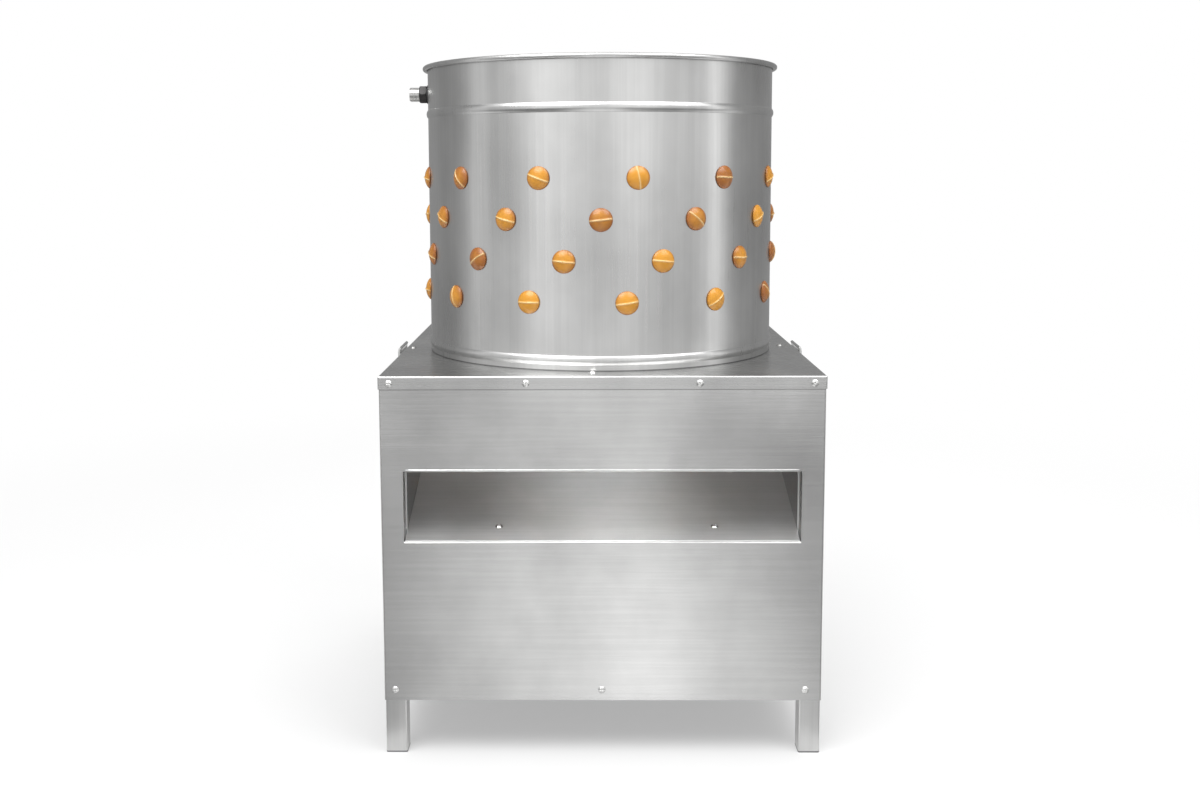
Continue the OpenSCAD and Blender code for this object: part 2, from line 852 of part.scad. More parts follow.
module drive_plate() {
    rear = rail_y[2] + tube / 2;
    front = rail_y[0] - tube / 2 - 6;
    slot_w = bolt_d + 2 * free_gap;
    color("silver") difference() {
        translate([-drive_plate_x, front, drive_top - drive_plate_t])
            cube([2 * drive_plate_x, rear - front, drive_plate_t]);
        translate([0, 0, drive_top - 20]) cylinder(r = spindle_d / 2 + 9, h = 30);
        motor_place() translate([0, 0, drive_top - 20]) cylinder(r = 44, h = 30);
        rail_bolt_places() translate([0, 0, -20]) cylinder(r = bolt_d / 2, h = 30);
        housing_bolt_places() translate([0, 0, -40]) cylinder(r = bolt_d / 2, h = 50);
        for (a = [45:90:315]) motor_place() rotate([0, 0, a])
            translate([motor_bolt_r, 0, drive_top - 20]) rotate([0, 0, -a]) linear_extrude(30)
                rounded(slot_w, slot_w + belt_take_up, slot_w / 2 - eps);
    }
}

module drive_bolts() {
    color("gainsboro") {
        rail_bolt_places() hex_bolt(bolt_d, 18);
        housing_bolt_places() hex_bolt(bolt_d, flange_t + drive_plate_t);
        translate([0, 0, drive_top - drive_plate_t]) motor_bolt_places()
            mirror([0, 0, 1]) hex_bolt(bolt_d, drive_plate_t + 7);
    }
}

// The belt: stations round the big pulley, then round the small one, each with a ring of four corners
belt_steps = 48;
belt_stations = concat(
    [for (i = [0:belt_steps]) [0, belt_r, 90 + belt_angle + i * (360 - 2 * belt_angle) / belt_steps]],
    [for (i = [0:belt_steps / 2])
        [motor_y, belt_small_r, 90 - belt_angle + i * 2 * belt_angle / (belt_steps / 2)]]);

function belt_corners(s) = let (lean = belt_t * tan(belt_side)) [
    for (c = [[0, -belt_w / 2], [0, belt_w / 2], [-belt_t, belt_w / 2 - lean], [-belt_t, lean - belt_w / 2]])
        [(s[1] + c[0]) * cos(s[2]), s[0] + (s[1] + c[0]) * sin(s[2]), c[1]]];

module drive_belt() {
    rings = len(belt_stations);
    color("dimgray") translate([0, 0, belt_z]) polyhedron(
        points = [for (s = belt_stations) each belt_corners(s)],
        faces = [for (i = [0:rings - 1], k = [0:3], t = [0, 1])
            let (a = 4 * i + k, b = 4 * i + (k + 1) % 4, far = 4 * ((i + 1) % rings))
                t == 0 ? [a, b, far + (k + 1) % 4] : [a, far + (k + 1) % 4, far + k]]);
}

module drive_pulley() {
    color("darkgray") motor_place() translate([0, 0, belt_z]) difference() {
        union() {
            translate([0, 0, -pulley_w / 2]) cylinder(r = motor_pulley_r, h = pulley_w);
            translate([0, 0, -19]) cylinder(r = 16, h = 30);
        }
        translate([0, 0, -30]) cylinder(r = motor_shaft_d / 2 + seat_gap, h = 60);
        groove_ring(motor_pulley_r);
    }
}

// Motor, hung over the plate with its shaft down
module motor_frame() {
    spigot_h = 7;
    color("slategray") motor_place() difference() {
        union() {
            translate([0, 0, drive_top]) cylinder(r = motor_flange_d / 2, h = motor_flange_t);
            translate([0, 0, drive_top]) linear_extrude(motor_h) {
                circle(motor_core_r);
                for (a = [0:15:345]) rotate([0, 0, a])
                    translate([motor_core_r - 2, -1.3]) square([fin_r - motor_core_r + 2, 2.6]);
            }
            translate([0, 0, motor_top - eps]) cylinder(r = fan_cover_r - fan_wall - 0.1, h = spigot_h);
            translate([-pad_x, -pad_w / 2, pad_z - pad_h / 2]) cube([20, pad_w, pad_h]);
        }
        translate([0, 0, drive_top - 1])
            cylinder(r = motor_shaft_d / 2 + run_gap, h = motor_h + 20);
        translate([0, 0, drive_top + 16]) cylinder(r = rotor_r + 1, h = motor_h - 30);
        translate([0, -motor_y, drive_top - 1])
            motor_bolt_places() cylinder(r = bolt_d / 2, h = 9);
    }
}

module motor_rotor() {
    low = belt_z - 21;
    top = motor_top + fan_cover_h - 10;
    color("gray") motor_place() {
        translate([0, 0, low]) cylinder(r = motor_shaft_d / 2, h = top - low);
        translate([0, 0, drive_top + 28]) cylinder(r = rotor_r, h = motor_h - 54);
    }
}

module motor_fan() {
    fan_z = motor_top + 13;
    color("black") motor_place() translate([0, 0, fan_z]) difference() {
        union() {
            cylinder(r = 16, h = 18);
            cylinder(r = 56, h = 3);
            for (a = [0:45:315]) rotate([0, 0, a])
                translate([14, -1.2, 0]) cube([42, 2.4, 18]);
        }
        translate([0, 0, -1]) cylinder(r = motor_shaft_d / 2 + seat_gap, h = 30);
    }
}

module motor_fan_cover() {
    color("slategray") motor_place() translate([0, 0, motor_top]) difference() {
        cylinder(r = fan_cover_r, h = fan_cover_h);
        translate([0, 0, -1]) cylinder(r = fan_cover_r - fan_wall, h = fan_cover_h - fan_wall + 1);
        for (a = [0:30:330]) rotate([0, 0, a])
            translate([24, -2.5, fan_cover_h - 10]) cube([32, 5, 20]);
    }
}

module terminal_box() {
    box_d = 34;
    color("slategray") motor_place() difference() {
        translate([-pad_x - box_d, -pad_w / 2, pad_z - pad_h / 2]) cube([box_d, pad_w, pad_h]);
        translate([-pad_x - box_d + 2.5, -pad_w / 2 + 2.5, pad_z - pad_h / 2 + 2.5])
            cube([box_d - 2.5 + eps, pad_w - 5, pad_h - 5]);
        translate([-pad_x - box_d / 2, 0, pad_z - pad_h / 2 - 1]) cylinder(r = 5, h = 5);
    }
}

// Water inlet: built along +Z from the drum axis, then laid towards the left
module inlet_axis() {
    translate([0, 0, inlet_z]) rotate([0, -90, 0]) children();
}

module inlet_nipple() {
    step = drum_r - 1;
    color("gainsboro") inlet_axis() difference() {
        union() {
            translate([0, 0, ring_r + 4]) cylinder(r = spigot_r - seat_gap, h = step - ring_r - 4);
            translate([0, 0, step]) cylinder(r = thread_root_r, h = nut_face - step + eps);
            translate([0, 0, nut_face]) cylinder(r = nipple_r, h = drum_r + nipple_out - nut_face);
        }
        translate([0, 0, ring_r]) cylinder(r = nipple_bore, h = drum_r);
    }
}

module inlet_gasket() {
    color("black") difference() {
        inlet_axis() translate([0, 0, drum_r - 4])
            pipe(nut_af / 2 + 1.5, thread_root_r + seat_gap, gasket_t + 4);
        translate([0, 0, inlet_z - 50]) cylinder(r = drum_r, h = 100, $fn = 360);
    }
}

module inlet_nut() {
    color("gray") inlet_axis() translate([0, 0, drum_r + gasket_t]) difference() {
        cylinder(r = nut_af / sqrt(3), h = nut_t, $fn = 6);
        translate([0, 0, -1]) cylinder(r = thread_root_r + seat_gap, h = nut_t + 2);
    }
}

module spray_ring() {
    bore = ring_tube_d / 2 - 1.2;
    color("silver") difference() {
        union() {
            translate([0, 0, inlet_z]) rotate_extrude($fn = 96)
                translate([ring_r, 0]) circle(ring_tube_d / 2);
            inlet_axis() translate([0, 0, ring_r]) cylinder(r = socket_r, h = drum_in - 1 - ring_r);
        }
        translate([0, 0, inlet_z]) rotate_extrude($fn = 96) translate([ring_r, 0]) circle(bore);
        inlet_axis() translate([0, 0, ring_r]) cylinder(r = spigot_r, h = 40);
        for (i = [0:spray_holes - 1]) rotate([0, 0, (i + 0.5) * 360 / spray_holes])
            translate([ring_r, 0, inlet_z]) rotate([0, -135, 0]) cylinder(r = 1, h = 10, $fn = 16);
    }
}

module ring_clips() {
    clip_r = ring_tube_d / 2 + 0.25;
    color("silver") intersection() {
        for (a = clip_angles) rotate([0, 0, a]) translate([ring_r, 0, inlet_z])
            difference() {
                union() {
                    rotate([90, 0, 0]) cylinder(r = clip_r + 2, h = 14, center = true);
                    translate([0, -7, -clip_r - 2]) cube([20, 14, 2 * clip_r + 4]);
                }
                rotate([90, 0, 0]) cylinder(r = clip_r, h = 16, center = true);
            }
        translate([0, 0, inlet_z - 30]) cylinder(r = drum_in, h = 60, $fn = 360);
    }
}

// Control box in the rear panel
module facing_rear(y) {
    translate([-recess_x, y, recess_z]) rotate([90, 0, 0]) children();
}

module control_pan() {
    wide = recess_w + 2 * pan_flange;
    high = recess_h + 2 * pan_flange;
    color("silver") difference() {
        union() {
            facing_rear(frame_face) linear_extrude(sheet) rounded(wide, high, 10);
            facing_rear(frame_face) linear_extrude(recess_d)
                rounded(recess_w + 2 * sheet, recess_h + 2 * sheet, 8 + sheet);
        }
        facing_rear(frame_face + 1) linear_extrude(recess_d - sheet + 1)
            rounded(recess_w, recess_h, 8);
        button_places() cylinder(r = barrel_r + seat_gap, h = 20, center = true);
        pan_places() screw_hole(12);
    }
}

module button_place(s) {
    translate([-recess_x + s * button_pitch / 2, pan_back + sheet, recess_z])
        rotate([-90, 0, 0]) children();
}

module button_places() {
    for (s = [-1, 1]) button_place(s) children();
}

module switch_enclosure() {
    wide = recess_w - 8;
    high = recess_h - 6;
    color("dimgray") difference() {
        facing_rear(pan_back) linear_extrude(enclosure_d) rounded(wide, high, 6);
        facing_rear(pan_back + 1) linear_extrude(enclosure_d - 2) rounded(wide - 6, high - 6, 4);
        translate([-recess_x, gland_y, recess_z - high / 2 - 1])
            cylinder(r = gland_r - 2, h = 6);
    }
    color("dimgray") button_places() translate([0, 0, -sheet]) {
        translate([0, 0, -18]) pipe(barrel_r, button_r + run_gap, 18 + sheet + eps);
        translate([0, 0, sheet]) pipe(bezel_r, button_r + run_gap, bezel_h);
        translate([0, 0, -24]) pipe(barrel_r + 3, 4, 6 + eps);
        translate([0, 0, -enclosure_d + 3 - eps]) pipe(9, 4, enclosure_d - 27 + 2 * eps);
    }
}

module start_button() {
    color("green") button_place(-1) {
        translate([0, 0, -11]) cylinder(r = button_r, h = 11 + bezel_h + 1.5);
    }
}

module stop_button() {
    color("red") button_place(1) {
        translate([0, 0, -11]) cylinder(r = button_r, h = 11 + bezel_h + button_travel + 1);
        translate([0, 0, bezel_h + button_travel + 1 - eps]) {
            cylinder(r = stop_head_r, h = 3);
            translate([0, 0, 3 - eps]) rotate_extrude() cap_outline(stop_head_r, 5);
        }
    }
}

module cable_gland() {
    high = recess_h - 6;
    color("black") translate([-recess_x, gland_y, recess_z - high / 2])
        mirror([0, 0, 1]) difference() {
            union() {
                translate([0, 0, -5]) cylinder(r = gland_r - 2 - seat_gap, h = 6);
                cylinder(r = gland_r + 2, h = 6, $fn = 6);
                translate([0, 0, 6 - eps]) cylinder(r = gland_r, h = 10);
                translate([0, 0, 16 - 2 * eps]) rotate_extrude() cap_outline(gland_r, 5);
            }
            translate([0, 0, -6]) cylinder(r = 4, h = 40);
        }
}

// Side handles
module handle_outline() {
    difference() {
        translate([handle_r, handle_mid]) circle(handle_r);
        translate([handle_r, handle_mid]) circle(handle_r - handle_t);
        translate([0, handle_mid]) square([handle_out, 50]);
    }
    translate([0, handle_mid - eps]) square([handle_t, handle_leg_top - handle_mid]);
    translate([handle_out - handle_t, handle_mid - eps])
        square([handle_t, handle_knee - handle_mid + 2 * eps]);
    intersection() {
        difference() {
            translate([handle_out - handle_lip_r, handle_knee]) circle(handle_lip_r);
            translate([handle_out - handle_lip_r, handle_knee]) circle(handle_lip_r - handle_t);
        }
        translate([handle_out - handle_lip_r, handle_knee]) polygon([[0, 0], [40, 0],
            [40, 40 * tan(handle_lip)]]);
    }
}

module side_handles() {
    color("gainsboro") difference() {
        for (s = [0, 1]) mirror([s, 0, 0])
            translate([panel_face, handle_y + handle_len / 2, 0]) rotate([90, 0, 0])
                linear_extrude(handle_len) handle_outline();
        handle_places() screw_hole(14);
    }
}

module dome_screws() {
    color("gainsboro") {
        body_screws() dome_screw(9);
        cover_places() dome_screw(9);
        chute_places() dome_screw(9);
        handle_places() dome_screw(11);
        pan_places() dome_screw(8);
    }
}

leg(-1, -1);  // leg_front_left
leg(1, -1);  // leg_front_right
leg(-1, 1);  // leg_rear_left
leg(1, 1);  // leg_rear_right
foot_plugs();
upper_rails();
lower_rails();
side_rails();
cross_rails();
front_panel();
rear_panel();
left_panel();
right_panel();
top_cover();
chute_floor();
chute_walls();
chute_bearers();
shaft_collar();
drum_shell();
rim_ring();
drum_seat_ring();
wall_row(0);  // wall_fingers_row_1
wall_row(1);  // wall_fingers_row_2
wall_row(2);  // wall_fingers_row_3
wall_row(3);  // wall_fingers_row_4
feather_plate();
plate_ring(0);  // plate_fingers_inner
plate_ring(1);  // plate_fingers_middle
plate_ring(2);  // plate_fingers_outer
plate_ring(3);  // plate_fingers_edge
plate_hub();
plate_bolts();
spindle_cap_nut();
spindle();
splash_cap();
bearing_housing();
bearing_outer_rings();
bearing_inner_rings();
driven_pulley();
drive_plate();
drive_bolts();
drive_belt();
drive_pulley();
motor_frame();
motor_fan_cover();
motor_fan();
motor_rotor();
terminal_box();
inlet_nipple();
inlet_nut();
inlet_gasket();
spray_ring();
ring_clips();
control_pan();
switch_enclosure();
start_button();
stop_button();
cable_gland();
side_handles();
dome_screws();
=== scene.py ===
import json

import bmesh
import bpy
import numpy as np
from mathutils import Matrix, Vector


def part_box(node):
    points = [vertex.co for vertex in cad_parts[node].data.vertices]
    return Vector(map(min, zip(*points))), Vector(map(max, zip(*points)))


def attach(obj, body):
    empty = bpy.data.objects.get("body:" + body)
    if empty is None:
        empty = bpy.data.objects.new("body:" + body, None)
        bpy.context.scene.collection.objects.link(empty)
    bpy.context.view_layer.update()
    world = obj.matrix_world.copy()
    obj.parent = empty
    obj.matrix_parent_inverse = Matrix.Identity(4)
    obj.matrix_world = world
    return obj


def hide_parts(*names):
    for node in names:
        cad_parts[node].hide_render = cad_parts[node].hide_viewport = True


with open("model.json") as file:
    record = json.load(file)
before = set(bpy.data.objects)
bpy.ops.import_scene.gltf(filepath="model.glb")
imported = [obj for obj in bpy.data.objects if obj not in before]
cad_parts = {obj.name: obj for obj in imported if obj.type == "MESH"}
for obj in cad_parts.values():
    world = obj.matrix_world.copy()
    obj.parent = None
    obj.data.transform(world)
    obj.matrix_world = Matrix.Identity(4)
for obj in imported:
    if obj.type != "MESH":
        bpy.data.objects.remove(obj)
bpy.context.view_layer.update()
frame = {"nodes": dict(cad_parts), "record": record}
print("frame loaded:", len(frame["nodes"]), "nodes")

# everything below is in metres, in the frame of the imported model
tau = 2 * np.pi
chance = np.random.default_rng(48)


# shader wiring

class Wire:
    # one output socket; the operators add Math nodes
    def __init__(self, graph, socket):
        self.graph, self.socket = graph, socket

    def math(self, operation, *others):
        inputs = dict(enumerate((self,) + others))
        return self.graph.add("ShaderNodeMath", {"operation": operation}, inputs)

    def __add__(self, other):
        return self.math("ADD", other)

    def __sub__(self, other):
        return self.math("SUBTRACT", other)

    def __rsub__(self, other):
        return self.graph.add("ShaderNodeMath", {"operation": "SUBTRACT"}, {0: other, 1: self})

    def __mul__(self, other):
        return self.math("MULTIPLY", other)

    __radd__ = __add__
    __rmul__ = __mul__


class Graph:
    # the node tree of one material or of the world
    def __init__(self, owner):
        self.owner = owner
        owner.use_nodes = True
        self.tree = owner.node_tree
        self.tree.nodes.clear()

    def add(self, kind, settings=None, inputs=None, output=0):
        node = self.tree.nodes.new(kind)
        for key, value in (settings or {}).items():
            setattr(node, key, value)
        for key, value in (inputs or {}).items():
            if isinstance(value, Wire):
                self.tree.links.new(value.socket, node.inputs[key])
            else:
                node.inputs[key].default_value = value
        return Wire(self, node.outputs[output]) if len(node.outputs) else node

    def place(self, scale=(1, 1, 1), sideScale=None):
        # object coordinates, stretched; faces that look along X can have a stretch of their own
        spot = self.add("ShaderNodeTexCoord", output="Object")
        stretched = self.add("ShaderNodeMapping", {}, {"Vector": spot, "Scale": scale})
        if sideScale is None:
            return stretched
        normal = self.add("ShaderNodeTexCoord", output="Normal")
        sideways = self.add("ShaderNodeSeparateXYZ", {}, {"Vector": normal}, "X").math("ABSOLUTE")
        beside = self.add("ShaderNodeMapping", {}, {"Vector": spot, "Scale": sideScale})
        return self.mix(self.ramp(sideways, 0.6, 0.8), stretched, beside)

    def noise(self, scale, stretch=(1, 1, 1), detail=3.0, rough=0.5, sideStretch=None):
        spot = self.place(stretch, sideStretch)
        inputs = {"Vector": spot, "Scale": scale, "Detail": detail, "Roughness": rough}
        return self.add("ShaderNodeTexNoise", {}, inputs)

    def ramp(self, value, low, high, dark=0.0, light=1.0):
        return self.add("ShaderNodeMapRange", {"interpolation_type": "SMOOTHSTEP"},
                        {"Value": value, "From Min": low, "From Max": high, "To Min": dark, "To Max": light})

    def mix(self, factor, first, second):
        return self.add("ShaderNodeMix", {"data_type": "RGBA"}, {0: factor, 6: first, 7: second}, 2)

    def bump(self, height, strength, distance, under=None):
        inputs = {"Height": height, "Strength": strength, "Distance": distance}
        if under:
            inputs["Normal"] = under
        return self.add("ShaderNodeBump", {}, inputs)

    def surface(self, inputs):
        shader = self.add("ShaderNodeBsdfPrincipled", {}, inputs)
        self.add("ShaderNodeOutputMaterial", {}, {"Surface": shader})
        return self.owner


def newGraph(name):
    return Graph(bpy.data.materials.new(name))


def rgb(colour, share=1.0):
    return (*(share * part for part in colour), 1.0)


# finishes

steelLook = {
    # colour, roughness, grain stretch, streak stretch,
    # then the strength of the grain, of the streaks and of the waves in the sheet
    "cabinetSteel": ((0.64, 0.64, 0.635), 0.21, (9, 9, 620), (5, 5, 190), 0.06, 0.07, 0.24),
    "coverSteel": ((0.60, 0.60, 0.595), 0.24, (9, 620, 620), (5, 190, 190), 0.05, 0.07, 0.10),
    "chuteSteel": ((0.55, 0.55, 0.545), 0.40, (9, 620, 9), (5, 190, 5), 0.06, 0.10, 0.10),
    "drumSteel": ((0.62, 0.62, 0.615), 0.26, (300, 300, 3), (42, 42, 1.6), 0.03, 0.13, 0.22),
    "tubeSteel": ((0.64, 0.64, 0.635), 0.30, (500, 500, 3), (90, 90, 2), 0.04, 0.10, 0.04),
    "brightSteel": ((0.72, 0.72, 0.71), 0.16, (90, 90, 90), (60, 60, 60), 0.02, 0.05, 0.02),
    "turnedSteel": ((0.50, 0.50, 0.51), 0.26, (20, 20, 1500), (9, 9, 600), 0.05, 0.15, 0.0),
    "darkSteel": ((0.055, 0.054, 0.054), 0.42, (200, 200, 200), (60, 60, 60), 0.08, 0.10, 0.03),
}

# grain and streak stretch on the folds at the sides, where the lines run level too
sideGrain = {"coverSteel": ((9, 9, 620), (5, 5, 190))}

# a dull sheet is less than fully metallic
metalShare = {"chuteSteel": 0.78}

# painted shade in a line where one part meets another, under the cover's folded edge on the cabinet and at
# the drum's foot on the cover: the height of its middle and its half width
paintedShadeLines = {"cabinetSteel": (0.4853, 0.0019), "drumSteel": (0.5024, 0.0012)}
# colour and strength of that painted shade
paintedShade = {"colour": (0.10, 0.10, 0.10), "strength": 0.75}


def paintedShadeMask(g, name):
    # the painted shade line: full in the middle, fading to nothing at its half width
    middle, half = paintedShadeLines[name]
    spot = g.add("ShaderNodeTexCoord", output="Object")
    height = g.add("ShaderNodeSeparateXYZ", {}, {"Vector": spot}, "Z")
    return g.ramp((height - middle).math("ABSOLUTE"), half * 0.4, half, paintedShade["strength"], 0.0)


def steel(name):
    # brushed sheet: cloudy patches, streaks along the rolling direction and fine grain, over slow waves; on
    # some sheets a painted shade line where the next part meets them
    colour, rough, stretch, streakStretch, grainDepth, streakShare, waveDepth = steelLook[name]
    g = newGraph(name)
    sideStretch, sideStreaks = sideGrain.get(name, (None, None))
    grain = g.noise(1.0, stretch, 4.0, 0.6, sideStretch)
    streak = g.noise(1.0, streakStretch, 3.0, 0.6, sideStreaks)
    cloud = g.noise(5.0, (1, 1, 0.8), 4.0, 0.55)
    waves = g.noise(3.4, (1, 1, 0.8), 1.5, 0.4)
    patches = g.mix(g.ramp(cloud, 0.30, 0.70), rgb(colour, 0.80), rgb(colour, 1.04))
    streaks = g.ramp(streak * 0.7 + grain * 0.3, 0.36, 0.62) * streakShare
    tint = g.mix(streaks, patches, rgb(colour, 0.30))
    # painted shade line where the next part meets this sheet
    if name in paintedShadeLines:
        tint = g.mix(paintedShadeMask(g, name), tint, rgb(paintedShade["colour"]))
    roughness = rough - 0.06 + grain * 0.10 + cloud * 0.08
    slow = g.bump(waves, waveDepth, 0.02)
    return g.surface({
        "Base Color": tint, "Metallic": metalShare.get(name, 1.0), "Roughness": roughness,
        "Normal": g.bump(grain, grainDepth, 0.001, slow)})


fingerLook = {
    "bright": (0.74, 0.325, 0.022),
    "deep": (0.36, 0.115, 0.014),
    # pale colour of the parting line: the moulding flash's own paler colour plus a painted highlight on its
    # ridge
    "line": (1.0, 0.76, 0.36),
    "roughness": 0.30,
    "coat": 0.60,
    "coatRoughness": 0.27,
    "specular": 0.35,
}


def fingerRubber():
    g = newGraph("fingerRubber")
    # each head's own tone, with painted shade towards its rim
    toneAndRimShade = g.add("ShaderNodeAttribute", {"attribute_name": "toneAndRimShade"}, output="Fac")
    line = g.add("ShaderNodeAttribute", {"attribute_name": "partingLine"}, output="Fac")
    cloud = g.noise(95.0, (1, 1, 1), 4.0, 0.6)
    speck = g.noise(900.0, (1, 1, 1), 2.0, 0.5)
    paleness = g.ramp(cloud * 0.35 + toneAndRimShade * 0.65, 0.20, 0.75)
    body = g.mix(paleness, rgb(fingerLook["deep"]), rgb(fingerLook["bright"]))
    # the parting line made paler: its own colour plus a painted highlight on the ridge
    colour = g.mix(line * 0.75, body, rgb(fingerLook["line"]))
    return g.surface({
        "Base Color": colour, "Roughness": fingerLook["roughness"] + cloud * 0.10,
        "Coat Weight": fingerLook["coat"], "Coat Roughness": fingerLook["coatRoughness"],
        "Specular IOR Level": fingerLook["specular"],
        "Normal": g.bump(speck, 0.12, 0.0006)})


def castIron():
    g = newGraph("castIron")
    sand = g.noise(420.0, (1, 1, 1), 4.0, 0.65)
    patch = g.noise(30.0, (1, 1, 1), 3.0, 0.5)
    colour = g.mix(g.ramp(patch, 0.3, 0.7), rgb((0.10, 0.13, 0.15)), rgb((0.16, 0.19, 0.21)))
    return g.surface({
        "Base Color": colour, "Metallic": 0.1, "Roughness": 0.45 + patch * 0.2,
        "Normal": g.bump(sand, 0.4, 0.0012)})


def motorPaint():
    g = newGraph("motorPaint")
    dimple = g.add("ShaderNodeTexVoronoi", {"feature": "SMOOTH_F1"}, {"Vector": g.place(), "Scale": 260.0})
    dust = g.noise(18.0, (1, 1, 1), 4.0, 0.6)
    colour = g.mix(g.ramp(dust, 0.42, 0.75), rgb((0.10, 0.17, 0.235)), rgb((0.17, 0.225, 0.27)))
    return g.surface({
        "Base Color": colour, "Metallic": 0.2, "Roughness": 0.34 + dust * 0.12, "Coat Weight": 0.2,
        "Normal": g.bump(dimple, 0.25, 0.0012)})


softLook = {
    # colour, second colour, roughness, grain scale, grain strength
    "blackRubber": ((0.018, 0.018, 0.019), (0.04, 0.04, 0.041), 0.62, 700.0, 0.25),
    "greyPlastic": ((0.15, 0.15, 0.155), (0.19, 0.19, 0.195), 0.48, 1400.0, 0.18),
    "blackPlastic": ((0.022, 0.022, 0.023), (0.035, 0.035, 0.036), 0.42, 1400.0, 0.15),
    "startGreen": ((0.012, 0.26, 0.06), (0.02, 0.33, 0.09), 0.25, 500.0, 0.04),
    "stopRed": ((0.52, 0.012, 0.012), (0.62, 0.03, 0.022), 0.24, 500.0, 0.04),
}


def moulded(name):
    colour, other, rough, scale, strength = softLook[name]
    g = newGraph(name)
    grain = g.noise(scale, (1, 1, 1), 3.0, 0.55)
    patch = g.noise(35.0, (1, 1, 1), 3.0, 0.5)
    return g.surface({
        "Base Color": g.mix(g.ramp(patch, 0.3, 0.7), rgb(colour), rgb(other)),
        "Roughness": rough - 0.04 + patch * 0.10, "Normal": g.bump(grain, strength, 0.0006)})


finish = {name: steel(name) for name in steelLook}
finish.update({name: moulded(name) for name in softLook})
finish.update({"fingerRubber": fingerRubber(), "castIron": castIron(), "motorPaint": motorPaint()})
print("finishes made:", len(finish))

# which finish each kept node wears
nodeFinish = {
    "cabinetSteel": "front_panel rear_panel left_panel right_panel chute_walls control_pan",
    "coverSteel": "top_cover feather_plate drive_plate",
    "chuteSteel": "chute_floor",
    "drumSteel": "drum_shell rim_ring drum_seat_ring shaft_collar spray_ring ring_clips",
    "tubeSteel": "leg_front_left leg_front_right leg_rear_left leg_rear_right "
                 "upper_rails lower_rails side_rails cross_rails chute_bearers",
    "brightSteel": "side_handles dome_screws plate_bolts drive_bolts spindle_cap_nut inlet_nipple",
    "turnedSteel": "spindle bearing_outer_rings bearing_inner_rings motor_rotor",
    "darkSteel": "inlet_nut",
    "fingerRubber": "wall_fingers_row_1 wall_fingers_row_2 wall_fingers_row_3 wall_fingers_row_4 "
                    "plate_fingers_inner plate_fingers_middle plate_fingers_outer plate_fingers_edge",
    "castIron": "bearing_housing driven_pulley drive_pulley plate_hub",
    "motorPaint": "motor_frame motor_fan_cover terminal_box",
    "blackRubber": "drive_belt inlet_gasket",
    "greyPlastic": "foot_plugs switch_enclosure splash_cap",
    "blackPlastic": "motor_fan cable_gland",
    "startGreen": "start_button",
    "stopRed": "stop_button",
}
for name, wearers in nodeFinish.items():
    for node in wearers.split():
        slots = frame["nodes"][node].data.materials
        if len(slots) == 0:
            slots.append(finish[name])
        for index in range(len(slots)):
            slots[index] = finish[name]
bodyOf = {node: body for body, nodes in frame["record"]["behaviour"]["bodies"].items() for node in nodes}
finishOf = {node: finish[name] for name, wearers in nodeFinish.items() for node in wearers.split()}
print("nodes dressed:", len(finishOf))


# surfaces

# points of one piece that are closer than this are joined
weldDistance = 2e-6


def gridFaces(rows, columns, closeRows=False, closeColumns=True):
    # four corners for each cell of a grid, wrapping round where the grid is closed
    i = np.arange(rows if closeRows else rows - 1)[:, None]
    j = np.arange(columns if closeColumns else columns - 1)[None, :]
    below, beside = (i + 1) % rows, (j + 1) % columns
    corners = [i * columns + j, i * columns + beside, below * columns + beside, below * columns + j]
    return np.stack([np.broadcast_to(c, (len(i), j.shape[1])) for c in corners], -1).reshape(-1, 4)


def sheetPart(points, closeRows=False, closeColumns=True):
    # points (..., rows, columns, 3) become vertices and faces; leading axes are separate copies
    rows, columns = points.shape[-3:-1]
    copies = points.reshape(-1, rows * columns, 3)
    cells = gridFaces(rows, columns, closeRows, closeColumns)
    steps = (np.arange(len(copies)) * rows * columns)[:, None, None]
    return copies.reshape(-1, 3), (cells[None] + steps).reshape(-1, 4)


def makePiece(name, parts, nodes, values=None, smooth=True, extra=False):
    # one mesh object from several parts; it rides on its first node's body and stands for the nodes,
    # unless it is an extra beside them
    counts = np.cumsum([0] + [len(p[0]) for p in parts])
    vertices = np.concatenate([p[0] for p in parts])
    faces = np.concatenate([p[1] + start for p, start in zip(parts, counts)])
    mesh = bpy.data.meshes.new(name)
    mesh.vertices.add(len(vertices))
    mesh.vertices.foreach_set("co", vertices.astype(np.float32).ravel())
    mesh.loops.add(faces.size)
    mesh.loops.foreach_set("vertex_index", faces.astype(np.int32).ravel())
    mesh.polygons.add(len(faces))
    mesh.polygons.foreach_set("loop_start", np.arange(0, faces.size, 4, dtype=np.int32))
    for key, data in (values or {}).items():
        mesh.attributes.new(key, "FLOAT", "POINT").data.foreach_set("value", data.astype(np.float32).ravel())
    mesh.update(calc_edges=True)
    b = bmesh.new()
    b.from_mesh(mesh)
    bmesh.ops.remove_doubles(b, verts=b.verts, dist=weldDistance)
    bmesh.ops.recalc_face_normals(b, faces=b.faces)
    b.to_mesh(mesh)
    b.free()
    mesh.validate()
    mesh.polygons.foreach_set("use_smooth", np.full(len(mesh.polygons), smooth))
    piece = bpy.data.objects.new(name, mesh)
    bpy.context.collection.objects.link(piece)
    mesh.materials.append(finishOf[nodes[0]])
    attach(piece, bodyOf[nodes[0]])
    if not extra:
        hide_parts(*nodes)
    return piece


def arcPoints(centre, radius, start, end, steps):
    # points on a circle between two angles in degrees
    a = np.radians(np.linspace(start, end, steps))
    return np.stack([centre[0] + radius * np.cos(a), centre[1] + radius * np.sin(a)], -1)


def outline(*runs):
    return np.concatenate([np.atleast_2d(run) for run in runs])


def aroundAxis(radius, angles, heights):
    # places round Z, the angle counted from the front: (radius sin a, -radius cos a, height)
    return np.stack([radius * np.sin(angles), -radius * np.cos(angles), heights + 0 * angles], -1)


def spin(profile, angles):
    # an outline of radii and heights turned about Z
    return aroundAxis(profile[:, 0][:, None], angles, profile[:, 1][:, None])


